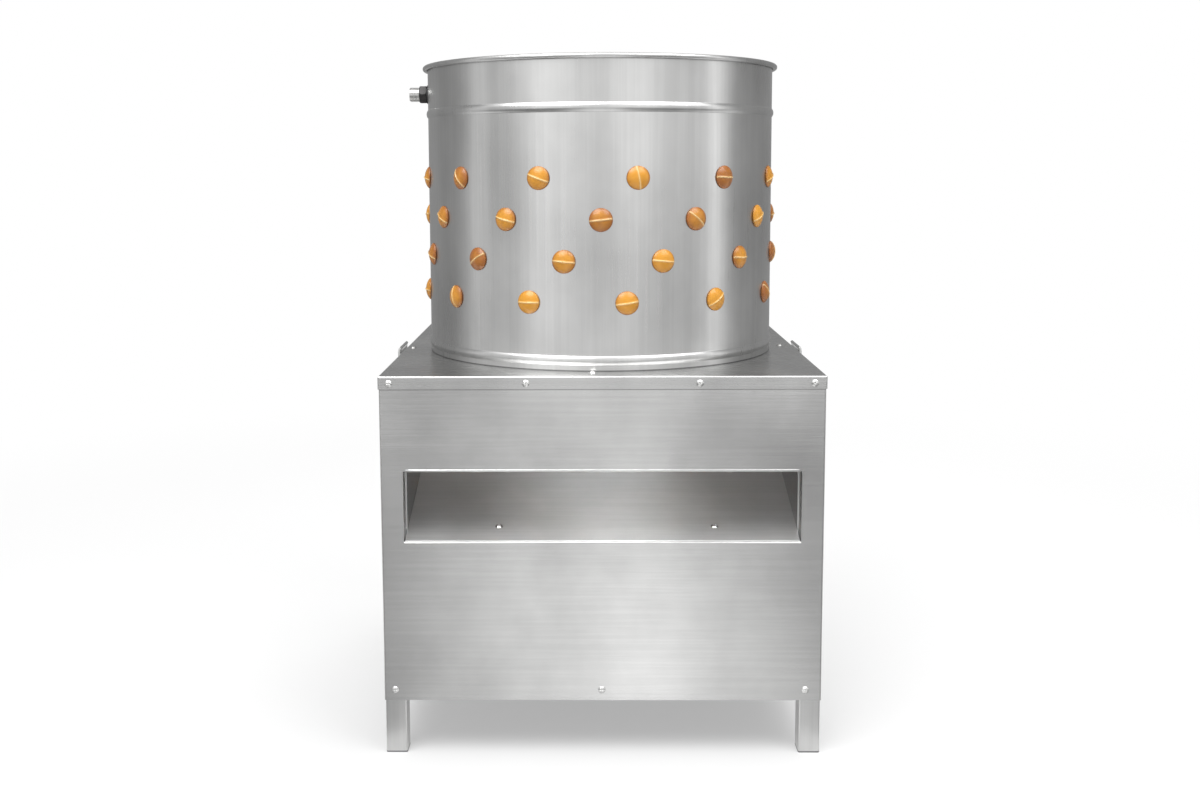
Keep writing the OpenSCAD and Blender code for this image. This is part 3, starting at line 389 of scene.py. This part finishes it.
def frameAt(origins, outward, upward):
    # 4x4 matrices whose Z is outward and whose Y is nearest to upward
    z = outward / np.linalg.norm(outward, axis=-1, keepdims=True)
    x = np.cross(upward, z)
    x /= np.linalg.norm(x, axis=-1, keepdims=True)
    m = np.zeros(z.shape[:-1] + (4, 4))
    m[..., :3, 0], m[..., :3, 1], m[..., :3, 2], m[..., :3, 3] = x, np.cross(z, x), z, origins
    m[..., 3, 3] = 1
    return m


def carry(shapes, matrices):
    # each grid of points (copies, rows, columns, 3) moved by its own matrix
    return np.einsum("nij,nrcj->nrci", matrices[:, :3, :3], shapes) + matrices[:, None, None, :3, 3]


def islands(node):
    # the separate solids of a kept node, as a list of vertex arrays
    mesh = frame["nodes"][node].data
    points = np.empty(len(mesh.vertices) * 3)
    mesh.vertices.foreach_get("co", points)
    mesh.calc_loop_triangles()
    triangles = np.empty(len(mesh.loop_triangles) * 3, int)
    mesh.loop_triangles.foreach_get("vertices", triangles)
    merged, same = np.unique(points.reshape(-1, 3).round(6), axis=0, return_inverse=True)
    triangles = same.ravel()[triangles].reshape(-1, 3)
    label, last = np.arange(len(merged)), None
    while last is None or (label != last).any():
        last = label.copy()
        lowest = label[triangles].min(1)
        for corner in range(3):
            np.minimum.at(label, triangles[:, corner], lowest)
        label = label[label]
    return [merged[label == key] for key in np.unique(label)]


# drum

drum = {
    "radius": 0.250,
    "wall": 0.0015,
    "beadHeight": 0.012,
    "beadOut": 0.0023,
    "upperBeadDrop": 0.068,
    "lowerBeadRise": 0.014,
    "rimRod": 0.007,
    "seamAngle": 163.0,
    "seamRise": 0.0005,
    "seamWidth": 0.0022,
    "seamReach": 0.016,
    # unevenness of the rolled sheet: its depth, and the height where it is strongest with its spread
    "wobble": 0.00022,
    "wobbleHeight": 0.72,
    "wobbleSpread": 0.14,
}


def drumAngles():
    # even steps round the drum, with fine steps over the weld seam; the reach is in radians
    reach = drum["seamReach"]
    seam = np.radians(drum["seamAngle"]) + np.linspace(-reach, reach, 17)
    even = np.linspace(0, tau, 300, endpoint=False)
    return np.sort(np.concatenate([even[np.abs(even - seam.mean()) > reach + 0.002], seam]))


def drumShape(angles, heights, beads):
    # radius = nominal + bead arcs + slow unevenness of the rolled sheet + the flat weld bead
    d = drum
    ball = ((d["beadHeight"] / 2) ** 2 + d["beadOut"] ** 2) / (2 * d["beadOut"])
    out = np.zeros_like(heights)
    for level in beads:
        arc = np.sqrt(np.maximum(ball ** 2 - (heights - level) ** 2, 0)) - (ball - d["beadOut"])
        out = np.maximum(out, arc)
    out = out[:, None]
    strong = np.exp(-((heights[:, None] - d["wobbleHeight"]) / d["wobbleSpread"]) ** 2)
    waves = np.sin(5 * angles + 0.7) + 0.7 * np.sin(9 * angles + 2.1) + 0.5 * np.sin(14 * angles + 4.0)
    uneven = d["wobble"] * waves / 2.2 * (0.4 + 0.6 * strong)
    fromSeam = (angles - np.radians(d["seamAngle"])) * d["radius"]
    seam = d["seamRise"] * np.exp(-(fromSeam / d["seamWidth"]) ** 4)
    return out + uneven + seam * (out < 1e-5)


def makeDrum():
    low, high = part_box("drum_shell")[0].z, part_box("drum_shell")[1].z
    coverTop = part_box("top_cover")[1].z
    beads = [high - drum["upperBeadDrop"], coverTop + drum["lowerBeadRise"]]
    near = [level + np.linspace(-0.0075, 0.0075, 25) for level in beads]
    heights = np.sort(np.concatenate([np.linspace(low, high, 60)] + near))
    angles = drumAngles()
    shape = drumShape(angles, heights, beads)
    rings = []
    for offset, order in ((0.0, slice(None)), (-drum["wall"], slice(None, None, -1))):
        ring = aroundAxis(drum["radius"] + offset + shape, angles, heights[:, None])
        rings.append(ring[order])
    points = np.concatenate(rings)
    return makePiece("drumSkin", [sheetPart(points, closeRows=True)], ["drum_shell"])


def makeRim():
    # rod of the rim: a circle carried round the drum, with a slightly flattened joint at the seam
    rod = drum["rimRod"] / 2
    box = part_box("rim_ring")
    level, ring = (box[0].z + box[1].z) / 2, box[1].x - rod
    angles = drumAngles()
    flat = 1 - 0.10 * np.exp(-(((angles - np.radians(drum["seamAngle"])) * ring) / 0.003) ** 2)
    around = np.linspace(0, tau, 28, endpoint=False)[:, None]
    points = aroundAxis(ring + rod * flat * np.cos(around), angles, level + rod * flat * np.sin(around))
    return makePiece("rimRod", [sheetPart(points, closeRows=True)], ["rim_ring"])


makeDrum()
makeRim()
print("drum made")

# rolled hem over the feather outlet

hem = {"slotTop": 0.377, "radius": 0.0017, "bulge": 0.0010, "sunk": 0.0002, "inset": 0.0015}


def makeHem():
    # flattened half circle carried along the slot's upper edge, its ends drawn in to nothing
    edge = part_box("front_panel")[0].y
    slotLow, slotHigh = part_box("chute_floor")[0].x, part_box("chute_floor")[1].x
    level = hem["slotTop"] + hem["radius"]
    turn = np.linspace(-np.pi / 2, np.pi / 2, 13)[:, None]
    x = np.linspace(slotLow, slotHigh, 60)
    full = np.sqrt(np.clip(np.minimum(x - slotLow, slotHigh - x) / hem["inset"], 0, 1))
    y = edge + hem["sunk"] - hem["bulge"] * np.cos(turn) * full
    points = np.stack([x + 0 * turn, y, level + hem["radius"] * np.sin(turn) + 0 * x], -1)
    strip = sheetPart(points, closeRows=True, closeColumns=False)
    return makePiece("slotHem", [strip], ["front_panel"], extra=True)


makeHem()
print("hem made")

# plucking fingers

finger = {
    "headRadius": 0.0155,
    "headHeight": 0.007,
    "edge": 0.0010,
    "domeTurn": 0.95,
    "hole": 0.010,
    "shoulder": 0.0135,
    "base": 0.0122,
    "tip": 0.0085,
    "length": 0.080,
    "ribPitch": 0.0062,
    "ribDepth": 0.0011,
    "lineHeight": 0.0012,
    "lineWidth": 0.0009,
    "wallNeck": 0.0019,
    # how much painted shade darkens a head towards its rim, where the dome falls away to the drum, the
    # brightest tone being 1
    "rimShade": 0.45,
    # slope of the moulding line on the heads that face the front, row by row: azimuth and slope in degrees
    "wallLines": {
        1: {-49: -52, -19: -20, 11: -80, 41: -2},
        2: {-60: -30, -30: -14, 0: 6, 30: -40, 60: 25},
        3: {-41: 32, -11: -5, 19: -5, 49: -2},
        4: {-52: -78, -22: 0, 8: 8, 38: 32, 68: -50},
    },
    "around": 40,
}


def fingerProfile(neck):
    # outline of one finger from the middle of its head to the middle of its tip: radius and height
    f = finger
    t = np.linspace(0, 1, 13)
    turn = f["domeTurn"]
    rise = (f["headHeight"] - f["edge"]) * (np.cos(t * turn) - np.cos(turn)) / (1 - np.cos(turn))
    dome = np.stack([f["headRadius"] * np.sin(t * turn) / np.sin(turn), f["edge"] + rise], -1)
    rim = arcPoints((f["headRadius"] - f["edge"] / 2, f["edge"] / 2), f["edge"] / 2, 60, -90, 5)
    throat = np.array([[f["hole"] + 0.0001, 0], [f["hole"] - 0.0002, -0.0003],
                       [f["hole"] - 0.0002, -neck + 0.0002]])
    collar = np.array([[f["shoulder"] - 0.001, -neck], [f["shoulder"] - 0.0003, -neck - 0.0004],
                       [f["shoulder"] - 0.0001, -neck - 0.0012], [f["shoulder"] - 0.0001, -neck - 0.0050]])
    low = -neck - f["length"]
    depth = np.linspace(0.0075, f["length"] - f["tip"], 46)
    share = (depth - depth[0]) / (depth[-1] - depth[0])
    taper = f["base"] + (f["tip"] - f["base"]) * share
    ribs = f["ribDepth"] * (0.5 - 0.5 * np.cos(tau * (depth - depth[0]) / f["ribPitch"])) ** 0.7
    shaft = np.stack([taper - 0.0001 - ribs * (share < 0.93), -neck - depth], -1)
    tip = arcPoints((0, low + f["tip"]), f["tip"] - 0.0001, -8, -90, 8)
    return outline(dome, rim, throat, collar, shaft, tip)


def fingerShape(neck, turns):
    # the outline turned about Z, with the parting line standing on the head;
    # one copy for each turn of that line
    profile = fingerProfile(neck)
    t = np.linspace(0, tau, finger["around"], endpoint=False)
    around = t + 0.30 * np.sin(2 * t)
    radius, height = profile[:, 0][:, None], profile[:, 1][:, None]
    across = radius * np.cos(around)
    onHead = (np.arange(len(profile)) < 14)[:, None] & (radius < finger["headRadius"] + 1e-5)
    line = np.exp(-(across / finger["lineWidth"]) ** 2) * onHead
    rise = finger["lineHeight"] * line * (1 - 0.3 * (radius / finger["headRadius"]) ** 8)
    a = around + np.asarray(turns)[:, None, None]
    shape = np.stack([radius * np.cos(a), radius * np.sin(a), height + rise + 0 * a], -1)
    return shape, np.broadcast_to(line, shape.shape[:-1])


def makeFingers(name, node, neck, places, turns):
    # every finger of a node, each with its own turn of the parting line and its own tone, darkened by painted
    # shade towards the rim of its head
    shape, line = fingerShape(neck, turns)
    # painted shade: each head darker towards its rim
    rimShade = finger["rimShade"] * (np.linalg.norm(shape[..., :2], axis=-1) / finger["headRadius"]) ** 5
    toneAndRimShade = chance.uniform(0.20, 1.0, len(places))[:, None, None] - rimShade
    values = {"toneAndRimShade": toneAndRimShade, "partingLine": line}
    return makePiece(name, [sheetPart(carry(shape, places))], [node], values)


def wallTurns(row, places):
    # the line lies within a quarter turn of level on most heads;
    # those in front take their slope from the list
    azimuth = np.degrees(np.arctan2(places[:, 0, 3], -places[:, 1, 3]))
    slope = chance.normal(0.0, 37.0, len(places))
    for seen, lean in finger["wallLines"][row].items():
        slope[np.abs(azimuth - seen) < 5] = lean
    return np.radians(slope + 90)


def wallPlaces(node):
    # each head stands on the drum, looking straight out
    centres = np.array([solid.mean(0) for solid in islands(node)])
    angle = np.arctan2(centres[:, 0], -centres[:, 1])
    level = (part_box(node)[0].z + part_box(node)[1].z) / 2
    outward = np.stack([np.sin(angle), -np.cos(angle), 0 * angle], -1)
    origins = outward * drum["radius"] + [0, 0, level]
    return frameAt(origins, outward, np.array([0, 0, 1.0]))


def platePlaces(node):
    # each head hangs under the plate, so outward is down
    centres = np.array([(solid.min(0) + solid.max(0)) / 2 for solid in islands(node)])
    centres[:, 2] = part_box("feather_plate")[0].z
    outward = np.tile([0, 0, -1.0], (len(centres), 1))
    return frameAt(centres, outward, np.array([0, 1.0, 0]))


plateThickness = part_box("feather_plate")[1].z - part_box("feather_plate")[0].z
for row in (1, 2, 3, 4):
    node = f"wall_fingers_row_{row}"
    places = wallPlaces(node)
    makeFingers(f"wallFingers{row}", node, finger["wallNeck"], places, wallTurns(row, places))
for ring in ("inner", "middle", "outer", "edge"):
    node = f"plate_fingers_{ring}"
    places = platePlaces(node)
    turns = chance.uniform(0, tau, len(places))
    makeFingers(f"plateFingers_{ring}", node, plateThickness, places, turns)
print("fingers made")

# screws

screw = {
    "headRadius": 0.00475,
    "headHeight": 0.0026,
    "shank": 0.00245,
    "slotDepth": 0.0013,
    "slotWidth": 0.0009,
    "slotReach": 0.0031,
    "domeRings": 12,
    "around": 32,
}


def screwShape(length):
    # domed head with a cross recess: height = dome - depth where either bar of the cross covers the spot
    s = screw
    t = np.linspace(0, 1, s["domeRings"])
    radius = np.concatenate([s["headRadius"] * t, [s["headRadius"] * 0.985, s["shank"], s["shank"], 0.0]])
    ball = (s["headRadius"] ** 2 + s["headHeight"] ** 2) / (2 * s["headHeight"])
    dome = np.sqrt(ball ** 2 - (s["headRadius"] * t) ** 2) - (ball - s["headHeight"])
    height = np.concatenate([np.maximum(dome, 0.0004), [0, 0, -length, -length]])
    a = np.linspace(0, tau, s["around"], endpoint=False)
    x, y = radius[:, None] * np.cos(a), radius[:, None] * np.sin(a)
    bars = np.minimum(np.abs(x), np.abs(y)) < s["slotWidth"] / 2 + 1e-5
    inside = (radius[:, None] < s["slotReach"]) & (np.arange(len(radius)) < len(t))[:, None]
    sunk = s["slotDepth"] * (1 - (radius[:, None] / s["slotReach"]) ** 2)
    z = height[:, None] - np.where(bars & inside, sunk, 0)
    return np.stack([x, y, z + 0 * a], -1)


def screwPlaces(node):
    # the head of each solid is its wide end along its longest axis
    places = []
    for solid in islands(node):
        centre = (solid.min(0) + solid.max(0)) / 2
        axis = np.linalg.svd(solid - solid.mean(0), full_matrices=False)[2][0]
        along = (solid - centre) @ axis
        wide = np.linalg.norm(solid - centre - along[:, None] * axis, axis=1)
        axis = axis * np.sign((wide * along).sum())
        along = (solid - centre) @ axis
        places.append((centre + axis * (along.max() - screw["headHeight"]), axis, along.max() - along.min()))
    origins, axes, spans = (np.array(column) for column in zip(*places))
    side = np.where(np.abs(axes[:, 2:]) > 0.5, [[0, 1.0, 0]], [[0, 0, 1.0]])
    return frameAt(origins, axes, side), spans


def makeScrews():
    places, spans = screwPlaces("dome_screws")
    turned = chance.uniform(0, tau, len(places))
    shape = screwShape(float(spans.min()) - screw["headHeight"])
    c, s = np.cos(turned)[:, None, None], np.sin(turned)[:, None, None]
    shape = np.stack([shape[..., 0] * c - shape[..., 1] * s, shape[..., 0] * s + shape[..., 1] * c,
                      shape[..., 2] + 0 * c], -1)
    return makePiece("domeScrews", [sheetPart(carry(shape, places))], ["dome_screws"])


makeScrews()
print("screws made")

# water inlet

inlet = {
    "threadPitch": 0.00181,
    "threadDepth": 0.0010,
    "bore": 0.006,
    "chamfer": 0.0012,
    "nutFlat": 0.012,
    "nutBore": 0.01013,
    "nutChamfer": 0.0016,
}


def layLeft(points, level):
    # built along Z from the drum axis, then laid so that Z points to -X at the inlet's height
    return np.stack([-points[..., 2], points[..., 1], points[..., 0] + level], -1)


def makeNipple():
    # threaded tube: radius = outside - depth * ridge(height / pitch - angle / turn), bored through
    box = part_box("inlet_nipple")
    level, tipEnd, root = (box[0].z + box[1].z) / 2, -box[0].x, -box[1].x
    outside = (box[1].z - box[0].z) / 2
    face = -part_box("inlet_nut")[0].x
    angles = np.linspace(0, tau, 48, endpoint=False)
    heights = np.linspace(face, tipEnd, 110)[:, None]
    phase = (heights / inlet["threadPitch"] - angles / tau) % 1.0
    ridge = 0.5 - 0.5 * np.cos(tau * phase)
    fade = np.clip((tipEnd - heights) / inlet["chamfer"], 0, 1)
    radius = outside - inlet["threadDepth"] * ridge * fade - inlet["chamfer"] * (1 - fade)
    thread = np.stack([radius * np.cos(angles), radius * np.sin(angles), heights + 0 * angles], -1)
    bore, neck, core = inlet["bore"], outside - 0.002, outside - 0.0004
    wall = drum["radius"] - 0.001
    inside = [[outside - inlet["chamfer"] - 0.0012, tipEnd], [bore, tipEnd - 0.001], [bore, root]]
    shank = [[neck, root], [neck, wall], [core, wall], [core, face - 0.0001]]
    rest = spin(np.array(inside + shank), angles + np.pi / 2)
    points = np.concatenate([thread, rest])
    return makePiece("threadedNipple", [sheetPart(layLeft(points, level), closeRows=True)], ["inlet_nipple"])


def makeNut():
    # hexagon with turned-down corners: radius = the smaller of the hexagon's and the chamfer cone's
    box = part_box("inlet_nut")
    level, near, far = (box[0].z + box[1].z) / 2, -box[1].x, -box[0].x
    angles = np.linspace(0, tau, 144, endpoint=False)
    hexagon = inlet["nutFlat"] / np.cos((angles + np.pi / 6) % (np.pi / 3) - np.pi / 6)
    corner = inlet["nutFlat"] / np.cos(np.pi / 6)
    middle = (near + far) / 2
    heights = np.array([near, near + 0.0008, near + 0.0014, middle, far - 0.0014, far - 0.0008, far])[:, None]
    fromFace = np.minimum(heights - near, far - heights)
    radius = np.minimum(hexagon, corner - 1.35 * np.maximum(inlet["nutChamfer"] - fromFace, 0))
    outer = np.stack([radius * np.cos(angles), radius * np.sin(angles), heights + 0 * angles], -1)
    bore = inlet["nutBore"]
    hole = [[bore + 0.0006, far], [bore, far - 0.0008], [bore, near + 0.0008], [bore + 0.0006, near]]
    inner = spin(np.array(hole), angles + np.pi / 2)
    points = layLeft(np.concatenate([outer, inner]), level)
    return makePiece("inletNut", [sheetPart(points, closeRows=True)], ["inlet_nut"], smooth=False)


makeNipple()
makeNut()
print("inlet made")

# side handles

handle = {
    "thick": 0.004,
    "reach": 0.025,
    "lipRadius": 0.014,
    "lipTurn": 35.0,
    "edge": 0.0009,
    "footHeight": 0.008,
}


def handlePath():
    # middle line of the bent strap in X and Z, from the panel down, round and up to the lip
    h = handle
    lo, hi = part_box("side_handles")
    face = hi.x - h["reach"]
    half, tip = h["thick"] / 2, hi.z
    knee = tip - h["lipRadius"] * np.sin(np.radians(h["lipTurn"]))
    mid = knee - h["footHeight"]
    bend = h["reach"] / 2
    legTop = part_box("top_cover")[0].z - 0.001
    back = np.stack([np.full(5, face + half), np.linspace(legTop, mid + 0.0004, 5)], -1)
    bottom = arcPoints((face + bend, mid), bend - half, 180, 360, 25)
    front = np.stack([np.full(4, face + h["reach"] - half), np.linspace(mid + 0.0004, knee - 0.0004, 4)], -1)
    lip = arcPoints((face + h["reach"] - h["lipRadius"], knee), h["lipRadius"] - half, 0, h["lipTurn"], 9)
    return outline(back, bottom, front, lip)


def makeHandles():
    # the middle line carried along Y, then thickened and its edges rounded
    lo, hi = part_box("side_handles")
    path = handlePath()
    y = np.linspace(lo.y, hi.y, 7)
    parts = []
    for side in (-1, 1):
        points = np.stack([side * path[:, :1] + 0 * y, y + 0 * path[:, :1], path[:, 1:] + 0 * y], -1)
        parts.append(sheetPart(points if side > 0 else points[:, ::-1], closeColumns=False))
    piece = makePiece("sideHandles", parts, ["side_handles"])
    thick = piece.modifiers.new("thickness", "SOLIDIFY")
    thick.thickness, thick.offset, thick.use_even_offset = handle["thick"], 0.0, True
    soft = piece.modifiers.new("roundEdges", "BEVEL")
    soft.width, soft.segments = handle["edge"], 3
    soft.limit_method, soft.angle_limit = "ANGLE", np.radians(50)
    return piece


makeHandles()
print("handles made")

# buttons

button = {
    "stem": 0.0092,
    "stemEdge": 0.0009,
    "dish": 0.0006,
    "capHeight": 0.0075,
    "capUnder": 0.0015,
    "capEdge": 0.0035,
}


def makeButton(name, node, capRadius=0.0):
    # turned outline with rounded edges, laid so that it faces the rear;
    # without a cap it is a stem with a dished face
    lo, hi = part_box(node)
    x, z = (lo.x + hi.x) / 2, (lo.z + hi.z) / 2
    b = button
    stem, dish = b["stem"], b["dish"]
    back, front = lo.y, hi.y
    if capRadius > stem:
        under, neckTop = capRadius - b["capUnder"], front - b["capHeight"]
        shoulder = (capRadius - b["capEdge"], front - b["capEdge"] - 0.0005)
        rows = outline([[0.0, back], [stem, back], [stem, neckTop], [under, neckTop]],
                       arcPoints((under, neckTop + b["capUnder"]), b["capUnder"], -90, 0, 5),
                       arcPoints(shoulder, b["capEdge"], 0, 78, 8),
                       [[capRadius * 0.62, front - 0.0002], [capRadius * 0.3, front], [0.0, front]])
    else:
        rows = outline([[0.0, back], [stem, back]],
                       arcPoints((stem - b["stemEdge"], front - b["stemEdge"]), b["stemEdge"], 0, 90, 6),
                       [[stem * 0.7, front - dish * 0.5], [stem * 0.35, front - dish], [0.0, front - dish]])
    turned = spin(rows, np.linspace(0, tau, 64, endpoint=False))
    points = np.stack([turned[..., 0] + x, turned[..., 2], turned[..., 1] + z], -1)
    return makePiece(name, [sheetPart(points)], [node])


stopRadius = (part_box("stop_button")[1].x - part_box("stop_button")[0].x) / 2
makeButton("startCap", "start_button")
makeButton("stopCap", "stop_button", stopRadius)
print("buttons made")

# studio

studio = {
    "floorReach": 30.0,
    "floorShade": 0.74,
    # the floor melts into white from the first distance to the second, by the first share to the second
    "floorMelt": (0.25, 2.4, 0.40, 1.0),
    "wallRadius": 3.2,
    "wallTop": 4.2,
    # brightness of the mirrored wall behind and in front, and how far the front reaches round in degrees
    "rearLevel": 0.33,
    "frontLevel": 0.62,
    "frontReach": 73.0,
    # azimuth from the front in degrees, half width in degrees, added brightness
    "softboxes": ((-35, 12, 0.60), (21, 11, 0.31), (77, 6, 1.35), (-83, 7, 0.66)),
    "worldLevel": 0.25,
    # level at the corners, glow along the middle of each side, extra glow close by,
    # width of that glow and its spread
    "floorCard": (0.28, 0.45, 0.60, 0.24, 0.08),
    # inner edge, distance of the extra glow's start and its fading length
    "floorCardReach": (0.44, 0.45, 1.5),
    # place, width and height, energy, aim, spread in degrees and whether gloss shows it;
    # the last two look into the chute
    "lamps": (((-1.2, -1.5, 3.4), (2.4, 2.4), 100.0, (0, 0, 0.6), 180, True),
              ((1.5, -1.3, 3.1), (2.0, 2.0), 50.0, (0, 0, 0.6), 180, True),
              ((0.2, 0.3, 3.3), (2.2, 2.2), 58.0, (0, 0, 0.4), 180, False),
              ((0.8, 2.6, 2.2), (1.8, 1.8), 26.0, (0, 0, 0.5), 180, False),
              ((0.0, -1.30, 0.50), (0.10, 0.10), 0.80, (0, -0.11, 0.335), 15, False),
              ((0.0, -1.30, 0.30), (0.56, 0.04), 1.35, (0, -0.10, 0.36), 17, False)),
}


def rayMask(g):
    # 1 for what the camera sees directly, in a mirror or through glass
    rays = g.add("ShaderNodeLightPath")
    outputs = rays.socket.node.outputs
    names = ("Is Camera Ray", "Is Glossy Ray", "Is Transmission Ray")
    direct, mirrored, through = (Wire(g, outputs[name]) for name in names)
    return direct.math("MAXIMUM", mirrored).math("MAXIMUM", through)


def makeWorld():
    world = bpy.data.worlds.new("studioWorld")
    bpy.context.scene.world = world
    g = Graph(world)
    strength = studio["worldLevel"] + rayMask(g) * (1.0 - studio["worldLevel"])
    light = g.add("ShaderNodeBackground", {}, {"Color": (1, 1, 1, 1), "Strength": strength})
    g.add("ShaderNodeOutputWorld", {}, {"Surface": light})


def stageObject(name, points, material, closeColumns=True):
    vertices, faces = sheetPart(points, closeColumns=closeColumns)
    mesh = bpy.data.meshes.new(name)
    mesh.from_pydata(vertices.tolist(), [], faces.tolist())
    mesh.materials.append(material)
    thing = bpy.data.objects.new(name, mesh)
    bpy.context.collection.objects.link(thing)
    return thing


def makeFloor():
    # pale floor; towards its edge it melts into the white around it
    g = newGraph("paleFloor")
    spot = g.add("ShaderNodeTexCoord", output="Object")
    away = g.add("ShaderNodeVectorMath", {"operation": "LENGTH"}, {0: spot}, "Value")
    melt = g.ramp(away, *studio["floorMelt"]) * rayMask(g)
    shade = studio["floorShade"]
    pale = g.add("ShaderNodeBsdfDiffuse", {}, {"Color": (shade, shade, shade, 1)})
    white = g.add("ShaderNodeEmission", {}, {"Color": (1, 1, 1, 1), "Strength": 1.0})
    mixed = g.add("ShaderNodeMixShader", {}, {0: melt, 1: pale, 2: white})
    g.add("ShaderNodeOutputMaterial", {}, {"Surface": mixed})
    reach = studio["floorReach"]
    side = np.linspace(-reach, reach, 2)
    x, y = np.meshgrid(side, side, indexing="ij")
    stageObject("floor", np.stack([x, y, 0 * x], -1), g.owner, closeColumns=False)


def makeFloorCard():
    # what the steel mirrors of the floor:
    # base + glow * bell(distance from the middle line of each side), lower further out
    inner, start, fading = studio["floorCardReach"]
    radius = np.linspace(inner, studio["wallRadius"], 40)[:, None]
    azimuth = np.linspace(-np.pi, np.pi, 361)
    points = aroundAxis(radius, azimuth, 0.003 + 0 * radius)
    card = stageObject("reflectorFloor", points, levelMaterial("reflectorFloorCard"), closeColumns=False)
    side = azimuth - np.round(azimuth / (np.pi / 2)) * (np.pi / 2)
    away = radius * np.sin(side) - 0.02
    base, glow, near, narrow, spread = studio["floorCard"]
    bell = np.exp(-(away / (narrow + spread * radius)) ** 2)
    setLevel(card, base + (glow + near * np.exp(-((radius - start) / fading) ** 2)) * bell)
    onlyReflected(card)


def onlyReflected(thing):
    thing.visible_camera = thing.visible_diffuse = thing.visible_shadow = False
    thing.visible_transmission = thing.visible_volume_scatter = False


def levelMaterial(name):
    g = newGraph(name)
    level = g.add("ShaderNodeAttribute", {"attribute_name": "level"}, output="Fac")
    light = g.add("ShaderNodeEmission", {}, {"Color": (1, 1, 1, 1), "Strength": level})
    g.add("ShaderNodeOutputMaterial", {}, {"Surface": light})
    return g.owner


def setLevel(thing, level):
    values = thing.data.attributes.new("level", "FLOAT", "POINT").data
    values.foreach_set("value", level.astype(np.float32).ravel())


def makeCards():
    # grey studio wall all round with soft boxes:
    # brightness = rear + front glow + a bell for each box
    s = studio
    azimuth = np.linspace(-np.pi, np.pi, 241)
    height = np.linspace(-0.02, s["wallTop"], 13)[:, None]
    points = aroundAxis(s["wallRadius"] + 0 * height, azimuth, height)
    wall = stageObject("reflectorWall", points, levelMaterial("reflectorCard"), closeColumns=False)
    glow = s["rearLevel"] + s["frontLevel"] * np.exp(-(np.degrees(azimuth) / s["frontReach"]) ** 4)
    for middle, half, extra in s["softboxes"]:
        glow = glow + extra * np.exp(-((np.degrees(azimuth) - middle) / half) ** 2)
    setLevel(wall, glow + 0 * height)
    onlyReflected(wall)


def makeLamps():
    for index, (place, size, energy, aim, spread, mirrored) in enumerate(studio["lamps"]):
        data = bpy.data.lights.new(f"softLamp{index}", "AREA")
        data.shape, data.energy, data.spread = "RECTANGLE", energy, np.radians(spread)
        data.size, data.size_y = size
        lamp = bpy.data.objects.new(data.name, data)
        bpy.context.collection.objects.link(lamp)
        direction = Vector(aim) - Vector(place)
        facing = direction.to_track_quat("-Z", "Y").to_matrix().to_4x4()
        lamp.matrix_world = Matrix.Translation(place) @ facing
        lamp.visible_camera, lamp.visible_glossy = False, mirrored


# camera: place in metres and angles in radians, fitted to the photograph's edges with little vertical shift
view = {
    "place": (-0.0186, -1.9180, 0.7650),
    # focal length over the sensor's width, both in picture points
    "focalShare": 1292.75 / 1200.0,
    "pitch": 0.1060,
    "yaw": 0.0116,
    "roll": -0.0038,
    "shiftX": 0.0230,
    "shiftY": -0.078,
}


def makeCamera():
    data = bpy.data.cameras.new("camera")
    data.sensor_fit, data.sensor_width = "HORIZONTAL", 36.0
    data.lens = data.sensor_width * view["focalShare"]
    data.shift_x, data.shift_y = view["shiftX"], view["shiftY"]
    data.clip_start, data.clip_end = 0.05, 200.0
    camera = bpy.data.objects.new("camera", data)
    bpy.context.collection.objects.link(camera)
    look = Matrix.Rotation(view["yaw"], 4, "Z") @ Matrix.Rotation(np.pi / 2 - view["pitch"], 4, "X")
    camera.matrix_world = Matrix.Translation(view["place"]) @ look @ Matrix.Rotation(view["roll"], 4, "Z")
    bpy.context.scene.camera = camera


makeWorld()
makeFloor()
makeCards()
makeFloorCard()
makeLamps()
makeCamera()
bpy.context.scene.view_settings.view_transform = "Standard"
print("studio made")
